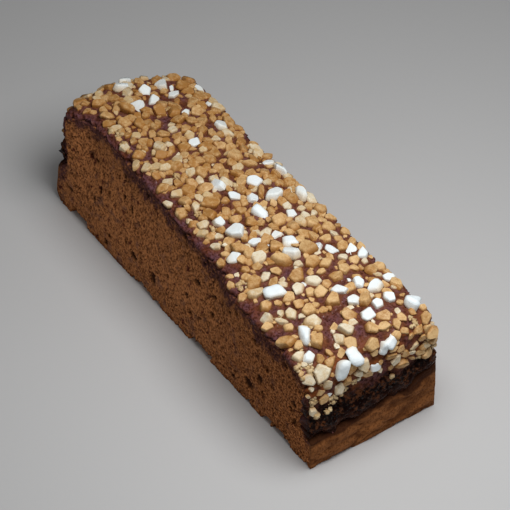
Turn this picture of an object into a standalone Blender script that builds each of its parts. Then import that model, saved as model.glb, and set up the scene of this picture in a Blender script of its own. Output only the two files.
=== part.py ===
"""Spiced breakfast cake: a bar of soft brown loaf, cut along both sides and baked at both
ends, under a dark sugar glaze that is set with coarse sugar nibs.

+X runs along the bar to its thicker glazed end, -Y is the cut side that leans in at the top,
+Z is up, and the origin is the middle of the flat underside. All sizes are in metres.
"""

import math

import bmesh
import bpy
import numpy as np

MM = 0.001

# the bar
HALF_WIDTH = 30.0 * MM        # centre line to either cut side, at the underside
TOP_HEIGHT = 49.5 * MM        # underside to the crumb's top, before crown and twist
CROWN = 1.2 * MM              # how much higher the middle of the top is than its long edges
TWIST = 1.8 * MM              # one long edge rises by this at one end and drops at the other
FAR_RISE = 1.2 * MM           # extra height of the far two thirds, towards the leaning side
SHOULDER_DROP = 2.2 * MM      # rounding of the top towards the upright cut side
DIP = (-30.0 * MM, 26.0 * MM) # middle of a shallow dip in the top
DIP_DEPTH = 1.6 * MM
DIP_SIZE = 20.0 * MM
STEP_START = 20.7 * MM        # x where the leaning cut side starts to stand up straight
STEP_END = 36.7 * MM
EDGE_LEAN = 4.6 * MM          # how far the top of the leaning cut side stands in
FAR_LEAN = 2.6 * MM           # what the far end adds to that
FAR_FLARE = 0.8               # share of both that is gone again at the far corner
UPRIGHT_LEAN = 1.0 * MM       # lean of the other cut side

# both baked ends: a base that stood against the tin, a ledge and waist above it, then a cap
NEAR_BASE = 91.0 * MM
FAR_BASE = 94.2 * MM
FAR_BASE_BOW = 3.0            # how strongly the far base curves back, per metre
FAR_BASE_SLOPE = 2.6 * MM     # how far the far base leans in by its top
FAR_FOOT = 3.0 * MM           # rounding under the far base
NEAR_CAP = 85.2 * MM          # reach of the near cap at the leaning cut side
NEAR_CAP_GROWTH = 4.3 * MM    # what it gains by the upright cut side
FAR_CAP = 89.8 * MM           # greatest reach of the far cap
FAR_AXIS = -8.0 * MM          # y at which the far end reaches furthest
FAR_CAP_BOW = 8.3             # how strongly the far cap curves back, per metre
NEAR_WAIST_DEPTH = 2.4 * MM   # how far a waist stands in from its cap
FAR_WAIST_DEPTH = 1.6 * MM
NEAR_SHELF = 14.0 * MM        # top of the near base at the leaning cut side
NEAR_SHELF_RISE = 11.0 * MM   # what it gains by the upright cut side
FAR_SHELF = 20.0 * MM
FAR_SHELF_RISE = 2.0 * MM
NEAR_CORNER = (15.0 * MM, 10.0 * MM)        # rounding along and down, leaning side
NEAR_CORNER_UPRIGHT = (7.0 * MM, 6.5 * MM)  # the same by the upright side
FAR_CORNER = (7.0 * MM, 6.0 * MM)

# levels run from 0, underside, to 1, top
SHELF_LEVEL = 0.40            # the upper edge of the base crust
WAIST_LEVEL = 0.48            # the inner edge of the ledge
CAP_LEVEL = 0.80              # where the cap stands out in full

# the glaze, and the syrup that ran down both ends and set on the ledges
GAP = 0.3 * MM
GLAZE = 1.5 * MM
SYRUP_FILL = 0.8              # how much of a ledge's depth the syrup fills
SYRUP_LUMP = 0.7 * MM
SKIN_LEVEL = 0.415            # where the syrup ends on the ledge
SKIN_EDGE = 0.25              # share of the glaze's thickness that it has there

# grid lines of the solids
LINES_ALONG = 26
LINES_ACROSS = 8
LINES_BASE = 3
LINES_UP = 7

# the sugar nibs
NIB_SEED = 7
NIB_COUNT = 225
NIB_TRIES = 24
STEP_SHARE = (0.37, 0.45)     # where the leaning side's step lies, as a share of the glaze
NIB_SPREAD = 0.45             # how much wider the nibs are spread before the step
NIB_LENGTH = (4.6 * MM, 7.0 * MM)
NIB_SLENDER = (0.66, 0.95)    # width against length
NIB_FLAT = (0.50, 0.64)       # height against length
NIB_SINK = 0.95 * MM
NIB_SIDES = 5
BARE_EDGE = 3.0 * MM          # nib centres stay this far from the leaning cut side
BARE_EDGE_FAR = 2.6 * MM      # what the far two thirds add to that
UPRIGHT_EDGE = 2.2 * MM       # the same by the upright cut side
BARE_END = 13.0 * MM          # and this far from the syrup's lower edge, by the cut sides
BARE_END_MIDDLE = 5.0 * MM    # what the middle of the end adds to that


def ramp(start, end, value):
    """Rises smoothly from 0 at start to 1 at end."""
    t = np.clip((value - start) / (end - start), 0.0, 1.0)
    return t * t * (3.0 - 2.0 * t)


def top_height(x, y):
    """Height of the crumb's top: level, crowned across, twisted along and dropping off
    towards the upright cut side."""
    across = y / HALF_WIDTH
    twist = TWIST * across * x / FAR_BASE
    crown = CROWN * (1.0 - across ** 2)
    drop = SHOULDER_DROP * ramp(0.6, 1.0, across)
    rise = FAR_RISE * ramp(10 * MM, -40 * MM, x) * ramp(20 * MM, -30 * MM, y)
    from_dip = np.hypot(x - DIP[0], y - DIP[1])
    dip = DIP_DEPTH * ramp(DIP_SIZE, 0.0, from_dip)
    return TOP_HEIGHT + twist + crown - drop + rise - dip


def shelf_height(along, y):
    """Height of the base crust's upper edge, blended from the far end to the near one."""
    across = y / HALF_WIDTH
    near_rise = 0.22 * ramp(-0.7, 0.3, across) + 0.78 * ramp(0.45, 1.0, across)
    near = NEAR_SHELF + NEAR_SHELF_RISE * near_rise
    far = FAR_SHELF + FAR_SHELF_RISE * ramp(-1.0, 1.0, across)
    return far + (near - far) * (along + 1.0) / 2.0


def cap_reach(near, y):
    """How far along X the cap of an end stands out."""
    if near:
        return NEAR_CAP + NEAR_CAP_GROWTH * ramp(-1.0, 0.87, y / HALF_WIDTH)
    return FAR_CAP - FAR_CAP_BOW * (y - FAR_AXIS) ** 2


def base_reach(near, y, level):
    """How far the base crust of an end stands out at a level."""
    if near:
        return NEAR_BASE + 0.0 * y
    slope = FAR_BASE_SLOPE * np.clip(level / SHELF_LEVEL, 0.0, 1.0)
    foot = FAR_FOOT * (1.0 - ramp(0.0, 0.12, level)) ** 2
    return FAR_BASE - FAR_BASE_BOW * (y - FAR_AXIS) ** 2 - slope - foot


def end_reach(near, y, level, coat, syrup):
    """How far an end stands out at a level: the base up to the ledge, then in to the waist,
    then out again to the cap. coat thickens what is above the ledge, and syrup, from 0 to 1,
    fills the ledge with a lumpy bead that thins out towards the cap."""
    base = base_reach(near, y, level)
    cap = cap_reach(near, y)
    waist = cap - (NEAR_WAIST_DEPTH if near else FAR_WAIST_DEPTH)
    upper = waist + (cap - waist) * ramp(WAIST_LEVEL, CAP_LEVEL, level)
    crumb = base + (upper - base) * ramp(SHELF_LEVEL, WAIST_LEVEL, level)
    lump = SYRUP_LUMP * np.sin(370.0 * y + 1.3) * np.sin(160.0 * y + 14.0 * level)
    room = np.maximum(base - upper, 0.0) * SYRUP_FILL + lump
    bead = np.maximum(upper + room - crumb, 0.0) * (1.0 - ramp(WAIST_LEVEL, CAP_LEVEL, level))
    thick = SKIN_EDGE + (1.0 - SKIN_EDGE) * ramp(SHELF_LEVEL, WAIST_LEVEL, level)
    return crumb + np.minimum(coat, GAP) + np.maximum(coat - GAP, 0.0) * thick + syrup * bead


def corner_size(near, y):
    """Length and depth of the rounding between an end and the top."""
    if not near:
        return FAR_CORNER
    share = ramp(-0.67, 0.83, y / HALF_WIDTH)
    return tuple(a + (b - a) * share for a, b in zip(NEAR_CORNER, NEAR_CORNER_UPRIGHT))


def side_lean(x, z, across):
    """How far a cut side stands in towards the centre line, signed along Y."""
    amount = EDGE_LEAN * (1.0 - ramp(STEP_START, STEP_END, x)) + FAR_LEAN * ramp(10 * MM, -70 * MM, x)
    amount *= 1.0 - FAR_FLARE * ramp(-70 * MM, -88 * MM, x)
    height = ramp(8 * MM, TOP_HEIGHT, z)
    leaning = amount * np.clip(-across, 0.0, 1.0)
    upright = UPRIGHT_LEAN * np.clip(across, 0.0, 1.0)
    return height * (leaning - upright)


def round_corner(x, z, near, y, coat):
    """Moves the square top corner of an end onto a quarter ellipse, by the mapping that
    takes a square to a disc: u sqrt(1 - v v / 2), v sqrt(1 - u u / 2)."""
    sign = 1.0 if near else -1.0
    length, depth = corner_size(near, y)
    start_x = cap_reach(near, y) - length
    start_z = top_height(x, y) - depth
    length = length + coat
    depth = depth + coat
    u = np.clip((sign * x - start_x) / length, 0.0, 1.0)
    v = np.clip((z - start_z) / depth, 0.0, 1.0)
    inside = (u > 0.0) & (v > 0.0)
    round_x = sign * (start_x + length * u * np.sqrt(1.0 - v * v / 2.0))
    round_z = start_z + depth * v * np.sqrt(1.0 - u * u / 2.0)
    return np.where(inside, round_x, x), np.where(inside, round_z, z)


def loaf_point(along, across, level, coat=0.0, syrup=0.0):
    """Surface of the bar as a bent box: along and across run from -1 to 1 and level from
    0 to 1. Arrays of any matching shape give an array of points. coat is the thickness
    of a layer over the top and ends, and syrup fills the ledges of that layer."""
    along, across, level = np.broadcast_arrays(along, across, level)
    y = across * HALF_WIDTH
    near_x = along * end_reach(True, y, level, coat, syrup)
    far_x = along * end_reach(False, y, level, coat, syrup)
    x = np.where(along >= 0.0, near_x, far_x)
    shelf = shelf_height(along, y) + min(coat, GAP)
    above = (level - SHELF_LEVEL) / (1.0 - SHELF_LEVEL)
    z = np.where(level < SHELF_LEVEL, level / SHELF_LEVEL * shelf,
                 shelf + above * (top_height(x, y) + coat - shelf))
    for near in (True, False):
        x, z = round_corner(x, z, near, y, coat)
    return np.stack([x, y + side_lean(x, z, across), z], axis=-1)


def grid_lines():
    """Grid values along, across and up the bar, closer together at the rounded ends."""
    t = np.linspace(-1.0, 1.0, LINES_ALONG + 1)
    along = np.sin(t * math.pi / 2.0) * 0.35 + t * 0.65
    across = np.linspace(-1.0, 1.0, LINES_ACROSS + 1)
    base = np.linspace(0.0, SHELF_LEVEL, LINES_BASE + 1)
    climb = np.linspace(WAIST_LEVEL, 1.0, LINES_UP)
    return along, across, np.concatenate([base, [SKIN_LEVEL], climb])


def mesh_object(name, vertices, faces, material):
    """A new object of one mesh, in the scene, with its faces turned outwards."""
    mesh = bpy.data.meshes.new(name)
    mesh.from_pydata([tuple(v) for v in vertices], [], faces)
    work = bmesh.new()
    work.from_mesh(mesh)
    bmesh.ops.remove_doubles(work, verts=work.verts, dist=0.01 * MM)
    bmesh.ops.recalc_face_normals(work, faces=work.faces)
    work.to_mesh(mesh)
    work.free()
    mesh.materials.append(material)
    obj = bpy.data.objects.new(name, mesh)
    bpy.context.scene.collection.objects.link(obj)
    return obj


def grid_faces(rows, columns, start=0):
    """Triangles of a grid whose vertices are stored row by row from index start. Every
    square is split the same way, so that two grids laid one over the other stay apart."""
    r, c = np.meshgrid(np.arange(rows - 1), np.arange(columns - 1), indexing="ij")
    first = start + (r * columns + c).ravel()
    lower = np.stack([first, first + 1, first + columns + 1], axis=1)
    upper = np.stack([first, first + columns + 1, first + columns], axis=1)
    return np.concatenate([lower, upper]).tolist()


def make_cake(material):
    """The crumb: five grids over the bent box and one flat face under it, joined along
    their shared edges. The grids run the same way as the glaze's."""
    along, across, level = grid_lines()
    back = along[::-1]
    grids = [
        np.meshgrid([1.0], level, across, indexing="ij"),
        np.meshgrid(back, [1.0], across, indexing="ij"),
        np.meshgrid([-1.0], level[::-1], across, indexing="ij"),
        np.meshgrid(along, level, [-1.0], indexing="ij"),
        np.meshgrid(along, level, [1.0], indexing="ij"),
    ]
    vertices = []
    faces = []
    for a, c, b in grids:
        rows, columns = [n for n in a.shape if n > 1]
        faces += grid_faces(rows, columns, len(vertices))
        vertices += loaf_point(a, b, c).reshape(-1, 3).tolist()
    ring_along = np.concatenate([along[:-1], np.ones(len(across) - 1), back[:-1],
                                 -np.ones(len(across) - 1)])
    ring_across = np.concatenate([-np.ones(len(along) - 1), across[:-1],
                                  np.ones(len(along) - 1), across[::-1][:-1]])
    ring = loaf_point(ring_along, ring_across, 0.0)
    faces.append(list(range(len(vertices), len(vertices) + len(ring))))
    vertices += ring.tolist()
    return mesh_object("cake", vertices, faces, material)


def skin_path():
    """Grid values that lead up the near end, over the top and down the far end."""
    along, _, level = grid_lines()
    climb = level[level >= SKIN_LEVEL]
    over = along[::-1][1:-1]
    path_along = np.concatenate([np.ones(len(climb)), over, -np.ones(len(climb))])
    path_level = np.concatenate([climb, np.ones(len(over)), climb[::-1]])
    return path_along, path_level


def glaze_frame(distance, y):
    """Point on the glaze's outer face and its outward normal, at a distance along the
    path from the glaze's lower edge at the near end."""
    path_along, path_level = skin_path()
    line = loaf_point(path_along, 0.0, path_level, GAP + GLAZE, 1.0)
    steps = np.linalg.norm(np.diff(line, axis=0), axis=1)
    walked = np.concatenate([[0.0], np.cumsum(steps)])

    def at(d, w):
        along = np.interp(d, walked, path_along)
        level = np.interp(d, walked, path_level)
        return loaf_point(along, np.clip(w / HALF_WIDTH, -1.0, 1.0), level, GAP + GLAZE, 1.0)

    forward = at(distance + MM, y) - at(distance - MM, y)
    sideways = at(distance, y + MM) - at(distance, y - MM)
    normal = np.cross(sideways, forward)
    normal /= np.linalg.norm(normal, axis=-1, keepdims=True)
    return at(distance, y), normal


def path_length():
    """Length of the glaze from one lower edge to the other, along the middle of the bar."""
    path_along, path_level = skin_path()
    line = loaf_point(path_along, 0.0, path_level, GAP + GLAZE, 1.0)
    return np.linalg.norm(np.diff(line, axis=0), axis=1).sum()


def make_skin(material):
    """The glaze: an outer and an inner sheet over the top and both ends, closed round
    their border."""
    path_along, path_level = skin_path()
    _, across, _ = grid_lines()
    rows, columns = len(path_along), len(across)
    along, level = path_along[:, None], path_level[:, None]
    outer = loaf_point(along, across[None], level, GAP + GLAZE, 1.0)
    inner = loaf_point(along, across[None], level, GAP, 0.0)
    vertices = np.concatenate([outer.reshape(-1, 3), inner.reshape(-1, 3)]).tolist()
    half = rows * columns
    faces = grid_faces(rows, columns) + grid_faces(rows, columns, half)
    index = np.arange(half).reshape(rows, columns)
    border = np.concatenate([index[0, :-1], index[:-1, -1], index[-1, :0:-1], index[:0:-1, 0]])
    ahead = np.roll(border, -1)
    faces += np.stack([border, ahead, ahead + half, border + half], axis=1).tolist()
    return mesh_object("glaze", vertices, faces, material)


def nib_spots():
    """Where each nib lies and how long it is: the largest first, each at the emptiest of
    a few random spots on the glaze, with the borders left bare."""
    rng = np.random.default_rng(NIB_SEED)
    length = path_length()
    sizes = np.sort(rng.uniform(*NIB_LENGTH, NIB_COUNT))[::-1]
    placed = np.zeros((0, 2))
    for _ in sizes:
        y = rng.uniform(-HALF_WIDTH, HALF_WIDTH, NIB_TRIES)
        bare_end = BARE_END + BARE_END_MIDDLE * (1.0 - (y / HALF_WIDTH) ** 2)
        distance = bare_end + (length - 2.0 * bare_end) * rng.uniform(0.0, 1.0, NIB_TRIES)
        past_step = ramp(*STEP_SHARE, distance / length)
        bare = BARE_EDGE + BARE_EDGE_FAR * past_step
        y = np.clip(y, bare - HALF_WIDTH, HALF_WIDTH - UPRIGHT_EDGE)
        trial = np.stack([distance, y], axis=1)
        if len(placed):
            space = np.linalg.norm(trial[:, None] - placed[None], axis=2).min(axis=1)
            wanted = 1.0 + NIB_SPREAD * (1.0 - past_step)
            trial = trial[np.argmax(space / wanted)][None]
        placed = np.concatenate([placed, trial[:1]])
    return placed, sizes, rng


def nib_lump(size, rng):
    """One nib about its own centre: two uneven rings between two poles."""
    width = size * rng.uniform(*NIB_SLENDER)
    height = size * rng.uniform(*NIB_FLAT)
    points = [(0.0, 0.0, height / 2.0)]
    for level, reach in ((0.22, 0.92), (-0.25, 1.0)):
        turn = rng.uniform(0.0, 2.0 * math.pi)
        for k in range(NIB_SIDES):
            angle = turn + (k + rng.uniform(-0.2, 0.2)) * 2.0 * math.pi / NIB_SIDES
            r = reach * rng.uniform(0.86, 1.08) / 2.0
            z = height * (level + rng.uniform(-0.06, 0.06))
            points.append((size * r * math.cos(angle), width * r * math.sin(angle), z))
    points.append((0.0, 0.0, -height / 2.0))
    return np.array(points), height


def nib_object(number, spot, normal, turn, size, rng):
    """A nib as its own closed mesh, pressed into the glaze at spot."""
    points, height = nib_lump(size, rng)
    side = np.cross(normal, [math.cos(turn), math.sin(turn), 0.0])
    side /= np.linalg.norm(side)
    front = np.cross(side, normal)
    raised = points + [0.0, 0.0, height / 2.0 - NIB_SINK]
    world = spot + raised @ np.stack([front, side, normal])
    work = bmesh.new()
    for point in world:
        work.verts.new(point)
    bmesh.ops.convex_hull(work, input=work.verts)
    bmesh.ops.recalc_face_normals(work, faces=work.faces)
    mesh = bpy.data.meshes.new("nib_%d" % number)
    work.to_mesh(mesh)
    work.free()
    return bpy.data.objects.new("nib_%d" % number, mesh)


def add_nibs(skin):
    """Fuses the nibs onto the glaze with one Boolean union."""
    placed, sizes, rng = nib_spots()
    top, normal = glaze_frame(placed[:, 0], placed[:, 1])
    group = bpy.data.collections.new("nibs")
    for k, size in enumerate(sizes):
        turn = rng.uniform(0.0, 2.0 * math.pi)
        group.objects.link(nib_object(k, top[k], normal[k], turn, size, rng))
    union = skin.modifiers.new("fuse", "BOOLEAN")
    union.operation = "UNION"
    union.operand_type = "COLLECTION"
    union.collection = group
    union.solver = "MANIFOLD"
    graph = bpy.context.evaluated_depsgraph_get()
    fused = bpy.data.meshes.new_from_object(skin.evaluated_get(graph))
    skin.modifiers.clear()
    skin.data = fused
    for nib in list(group.objects):
        bpy.data.objects.remove(nib)
    bpy.data.collections.remove(group)


def keep_largest_body(obj):
    """Drops sealed hollows and loose scraps left by the union."""
    work = bmesh.new()
    work.from_mesh(obj.data)
    bmesh.ops.triangulate(work, faces=work.faces)
    left = set(work.faces)
    bodies = []
    while left:
        stack = [left.pop()]
        body = list(stack)
        while stack:
            for edge in stack.pop().edges:
                for face in edge.link_faces:
                    if face in left:
                        left.remove(face)
                        stack.append(face)
                        body.append(face)
        bodies.append(body)
    bodies.sort(key=len)
    for body in bodies[:-1]:
        bmesh.ops.delete(work, geom=body, context="FACES")
    work.to_mesh(obj.data)
    work.free()


def plain_material(name, colour, roughness):
    """A Principled material of one colour."""
    material = bpy.data.materials.new(name)
    material.use_nodes = True
    shader = material.node_tree.nodes["Principled BSDF"]
    shader.inputs["Base Color"].default_value = (*colour, 1.0)
    shader.inputs["Roughness"].default_value = roughness
    shader.inputs["Metallic"].default_value = 0.0
    material.diffuse_color = (*colour, 1.0)
    return material


def main():
    for obj in list(bpy.data.objects):
        bpy.data.objects.remove(obj)
    crumb = plain_material("crumb", (0.28, 0.15, 0.07), 0.9)
    sugar = plain_material("glaze_and_nibs", (0.55, 0.36, 0.18), 0.45)
    make_cake(crumb)
    skin = make_skin(sugar)
    add_nibs(skin)
    keep_largest_body(skin)


main()
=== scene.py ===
import math

import bpy
import numpy as np
from mathutils import Matrix, Vector


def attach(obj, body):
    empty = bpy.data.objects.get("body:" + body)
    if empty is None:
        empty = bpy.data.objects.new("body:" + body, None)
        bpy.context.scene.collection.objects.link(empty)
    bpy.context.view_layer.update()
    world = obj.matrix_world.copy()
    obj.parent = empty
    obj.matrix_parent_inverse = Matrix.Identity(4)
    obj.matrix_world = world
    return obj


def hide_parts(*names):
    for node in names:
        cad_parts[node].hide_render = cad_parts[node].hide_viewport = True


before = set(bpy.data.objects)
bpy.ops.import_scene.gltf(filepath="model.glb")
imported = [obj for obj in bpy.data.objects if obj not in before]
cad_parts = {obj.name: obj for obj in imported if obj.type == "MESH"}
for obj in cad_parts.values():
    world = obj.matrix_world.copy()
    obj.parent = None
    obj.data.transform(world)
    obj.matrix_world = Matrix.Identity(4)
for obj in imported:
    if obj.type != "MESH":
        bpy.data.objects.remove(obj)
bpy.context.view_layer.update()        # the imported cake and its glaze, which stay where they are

mm = 0.001

# the form of the bar, the same values as the solids have; across runs from -1 to 1, level from 0 to 1
bar = {
    "halfWidth": 30.0 * mm,
    "topHeight": 49.5 * mm,
    "crown": 1.2 * mm,
    "twist": 1.8 * mm,
    "farRise": 1.2 * mm,
    "farRiseAlong": (10 * mm, -40 * mm),
    "farRiseAcross": (20 * mm, -30 * mm),
    "shoulder": 0.6,             # the top drops from here outwards
    "shoulderDrop": 2.2 * mm,
    "dip": (-30.0 * mm, 26.0 * mm),
    "dipDepth": 1.6 * mm,
    "dipSize": 20.0 * mm,
    "edgeLean": 4.6 * mm,
    "step": (20.7 * mm, 36.7 * mm),    # where the leaning cut side comes to stand up straight
    "farLean": 2.6 * mm,
    "farLeanAlong": (10 * mm, -70 * mm),
    "farFlare": 0.8,             # share of both that is gone again at the far corner
    "farFlareAlong": (-70 * mm, -88 * mm),
    "uprightLean": 1.0 * mm,
    "leanFrom": 8 * mm,          # height
    "nearBase": 91.0 * mm,
    "farBase": 94.2 * mm,
    "farBaseBow": 3.0,           # per metre
    "farBaseSlope": 2.6 * mm,
    "farFoot": 3.0 * mm,
    "footLevel": 0.12,
    "nearCap": 85.2 * mm,
    "nearCapGrowth": 4.3 * mm,
    "nearCapAcross": (-1.0, 0.87),
    "farCap": 89.8 * mm,
    "farAxis": -8.0 * mm,
    "farCapBow": 8.3,            # per metre
    "nearWaist": 2.4 * mm,
    "farWaist": 1.6 * mm,
    "nearShelf": 14.0 * mm,
    "nearShelfRise": 11.0 * mm,
    "nearShelfSteps": ((0.22, -0.7, 0.3), (0.78, 0.45, 1.0)),    # share of the rise, from and to, across
    "farShelf": 20.0 * mm,
    "farShelfRise": 2.0 * mm,
    "nearCorner": (15.0 * mm, 10.0 * mm),
    "nearCornerUpright": (7.0 * mm, 6.5 * mm),
    "nearCornerAcross": (-0.67, 0.83),
    "farCorner": (7.0 * mm, 6.0 * mm),
    "shelfLevel": 0.40,
    "waistLevel": 0.48,
    "capLevel": 0.80,
    "gap": 0.3 * mm,             # crumb to glaze
    "coat": 1.5 * mm,            # thickness of the glaze
    "syrupFill": 0.8,
    "syrupLump": 0.7 * mm,
    "lumpWaves": ((370.0, 1.3), (160.0, 14.0)),    # radians per metre across, and a shift or a turn per level
    "skinLevel": 0.415,          # where the syrup ends on the ledge
    "skinEdge": 0.25,
}
coatTop = bar["gap"] + bar["coat"]


def rise(start, end, value):
    # smooth step: 0 at start, 1 at end, level at both
    t = np.clip((value - start) / (end - start), 0.0, 1.0)
    return t * t * (3.0 - 2.0 * t)


def atLeast(least, value):
    # straight from a least share at 0 to the whole at 1
    return least + (1.0 - least) * value


def topHeight(x, y):
    # level top, plus a crown across, a twist along, a raised far part, a rounded shoulder and a dip
    across = y / bar["halfWidth"]
    twist = bar["twist"] * across * x / bar["farBase"]
    crown = bar["crown"] * (1.0 - across ** 2)
    drop = bar["shoulderDrop"] * rise(bar["shoulder"], 1.0, across)
    lift = bar["farRise"] * rise(*bar["farRiseAlong"], x) * rise(*bar["farRiseAcross"], y)
    fromDip = np.hypot(x - bar["dip"][0], y - bar["dip"][1])
    dip = bar["dipDepth"] * rise(bar["dipSize"], 0.0, fromDip)
    return bar["topHeight"] + twist + crown - drop + lift - dip


def shelfHeight(along, y):
    # upper edge of the base crust, blended from the far end to the near one, which climbs in two steps
    across = y / bar["halfWidth"]
    climb = sum(share * rise(start, end, across) for share, start, end in bar["nearShelfSteps"])
    near = bar["nearShelf"] + bar["nearShelfRise"] * climb
    far = bar["farShelf"] + bar["farShelfRise"] * rise(-1.0, 1.0, across)
    return far + (near - far) * (along + 1.0) / 2.0


def capReach(near, y):
    # how far along X the upper part of an end stands out: a smooth step near, a parabola far
    if near:
        return bar["nearCap"] + bar["nearCapGrowth"] * rise(*bar["nearCapAcross"], y / bar["halfWidth"])
    return bar["farCap"] - bar["farCapBow"] * (y - bar["farAxis"]) ** 2


def baseReach(near, y, level):
    # how far the base crust of an end stands out: straight near, a sloping parabola with a foot far
    if near:
        return bar["nearBase"] + 0.0 * y
    slope = bar["farBaseSlope"] * np.clip(level / bar["shelfLevel"], 0.0, 1.0)
    foot = bar["farFoot"] * (1.0 - rise(0.0, bar["footLevel"], level)) ** 2
    return bar["farBase"] - bar["farBaseBow"] * (y - bar["farAxis"]) ** 2 - slope - foot


def endReach(near, y, level, coat, syrup):
    # base up to the ledge, in to the waist, out to the cap; coat thickens it and syrup fills the ledge
    base = baseReach(near, y, level)
    cap = capReach(near, y)
    waist = cap - bar["nearWaist" if near else "farWaist"]
    full = rise(bar["waistLevel"], bar["capLevel"], level)
    inward = rise(bar["shelfLevel"], bar["waistLevel"], level)
    upper = waist + (cap - waist) * full
    bare = base + (upper - base) * inward
    (wave, shift), (slant, turn) = bar["lumpWaves"]
    lump = bar["syrupLump"] * np.sin(wave * y + shift) * np.sin(slant * y + turn * level)
    room = np.maximum(base - upper, 0.0) * bar["syrupFill"] + lump
    bead = np.maximum(upper + room - bare, 0.0) * (1.0 - full)
    thick = np.maximum(coat - bar["gap"], 0.0) * atLeast(bar["skinEdge"], inward)
    return bare + np.minimum(coat, bar["gap"]) + thick + syrup * bead


def cornerSize(near, y):
    # length and depth of the rounding between an end and the top
    if not near:
        return bar["farCorner"]
    share = rise(*bar["nearCornerAcross"], y / bar["halfWidth"])
    return tuple(a + (b - a) * share for a, b in zip(bar["nearCorner"], bar["nearCornerUpright"]))


def sideLean(x, z, across):
    # how far a cut side stands in towards the centre line, signed along Y
    amount = bar["edgeLean"] * (1.0 - rise(*bar["step"], x))
    amount = amount + bar["farLean"] * rise(*bar["farLeanAlong"], x)
    amount = amount * (1.0 - bar["farFlare"] * rise(*bar["farFlareAlong"], x))
    leaning = amount * np.clip(-across, 0.0, 1.0)
    upright = bar["uprightLean"] * np.clip(across, 0.0, 1.0)
    return rise(bar["leanFrom"], bar["topHeight"], z) * (leaning - upright)


def roundCorner(x, z, near, y, coat):
    # square to disc mapping of an end's top corner: u sqrt(1 - v v / 2), v sqrt(1 - u u / 2)
    sign = 1.0 if near else -1.0
    length, depth = cornerSize(near, y)
    startX = capReach(near, y) - length
    startZ = topHeight(x, y) - depth
    length = length + coat
    depth = depth + coat
    u = np.clip((sign * x - startX) / length, 0.0, 1.0)
    v = np.clip((z - startZ) / depth, 0.0, 1.0)
    inside = (u > 0.0) & (v > 0.0)
    roundX = sign * (startX + length * u * np.sqrt(1.0 - v * v / 2.0))
    roundZ = startZ + depth * v * np.sqrt(1.0 - u * u / 2.0)
    return np.where(inside, roundX, x), np.where(inside, roundZ, z)


def loafPoint(along, across, level, coat=0.0, syrup=0.0):
    # the bar as a bent box: along and across from -1 to 1, level from 0 to 1, under a coat
    along, across, level, coat = np.broadcast_arrays(along, across, level, coat)
    y = across * bar["halfWidth"]
    x = along * np.where(along >= 0.0, endReach(True, y, level, coat, syrup),
                         endReach(False, y, level, coat, syrup))
    shelf = shelfHeight(along, y) + np.minimum(coat, bar["gap"])
    above = (level - bar["shelfLevel"]) / (1.0 - bar["shelfLevel"])
    z = np.where(level < bar["shelfLevel"], level / bar["shelfLevel"] * shelf,
                 shelf + above * (topHeight(x, y) + coat - shelf))
    for near in (True, False):
        x, z = roundCorner(x, z, near, y, coat)
    return np.stack([x, y + sideLean(x, z, across), z], axis=-1)


# patterns that move the surfaces; their random tables repeat after so many cells
tableSize = 256


def softNoise(u, v, seed):
    # random values on whole numbers, blended by a smooth step in both directions: -1 to 1
    table = np.random.default_rng(seed).uniform(-1.0, 1.0, (tableSize, tableSize))
    u, v = np.broadcast_arrays(u, v)
    i, j = np.floor(u).astype(int), np.floor(v).astype(int)
    s, t = rise(0.0, 1.0, u - i), rise(0.0, 1.0, v - j)
    i, j, i1, j1 = i % tableSize, j % tableSize, (i + 1) % tableSize, (j + 1) % tableSize
    low = table[i, j] * (1 - s) + table[i1, j] * s
    high = table[i, j1] * (1 - s) + table[i1, j1] * s
    return low * (1 - t) + high * t


def layered(pattern, u, v, part=1.0):
    # soft noise added up, each layer twice as fine and half as strong, at places in millimetres; a pattern is
    # its two wavelengths, its seed, its number of layers and how far each part of the piece shifts it
    wavelengthU, wavelengthV, seed, layers, shift = pattern
    u, v = u / wavelengthU, v / wavelengthV + part * shift
    return sum(softNoise(u * 2 ** k, v * 2 ** k, seed + k) / 2 ** k for k in range(layers))


def pits(u, v, cell, share, reach, seed):
    # a share of the cells has one round pit, its middle at 0.1 to 0.9 of the cell and its radius between two
    # shares of it: (1 - (distance / radius) ^ 2) ^ 0.7, which is 1 at the middle and 0 from the rim outwards
    rng = np.random.default_rng(seed)
    jitterU, jitterV, size, there = rng.random((4, tableSize, tableSize))
    i0, j0 = np.floor(u / cell).astype(int), np.floor(v / cell).astype(int)
    deepest = np.zeros(u.shape)
    for di in (-1, 0, 1):
        for dj in (-1, 0, 1):
            i, j = (i0 + di) % tableSize, (j0 + dj) % tableSize
            middleU = (i0 + di + 0.1 + 0.8 * jitterU[i, j]) * cell
            middleV = (j0 + dj + 0.1 + 0.8 * jitterV[i, j]) * cell
            radius = cell * (reach[0] + (reach[1] - reach[0]) * size[i, j])
            away = np.hypot(u - middleU, v - middleV) / radius
            bowl = np.clip(1.0 - away ** 2, 0.0, 1.0) ** 0.7
            deepest = np.maximum(deepest, np.where(there[i, j] < share, bowl, 0.0))
    return deepest


# meshes
def gridQuads(ids):
    # the squares of a grid of vertex numbers, facing rows cross columns
    return np.stack([ids[:-1, :-1], ids[1:, :-1], ids[1:, 1:], ids[:-1, 1:]], axis=-1).reshape(-1, 4)


def boxLattice(along, across, level):
    # the six sheets round a lattice, each lattice point used once, so that neighbours share edges
    shape = (len(along), len(across), len(level))
    ids = np.arange(np.prod(shape)).reshape(shape)
    sheets = (ids[-1], ids[0].T, ids[:, 0], ids[:, -1].T, ids[:, :, -1], ids[:, :, 0].T)
    quads = np.concatenate([gridQuads(s) for s in sheets])
    used, quads = np.unique(quads, return_inverse=True)
    return np.unravel_index(used, shape), quads.reshape(-1, 4)


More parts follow.
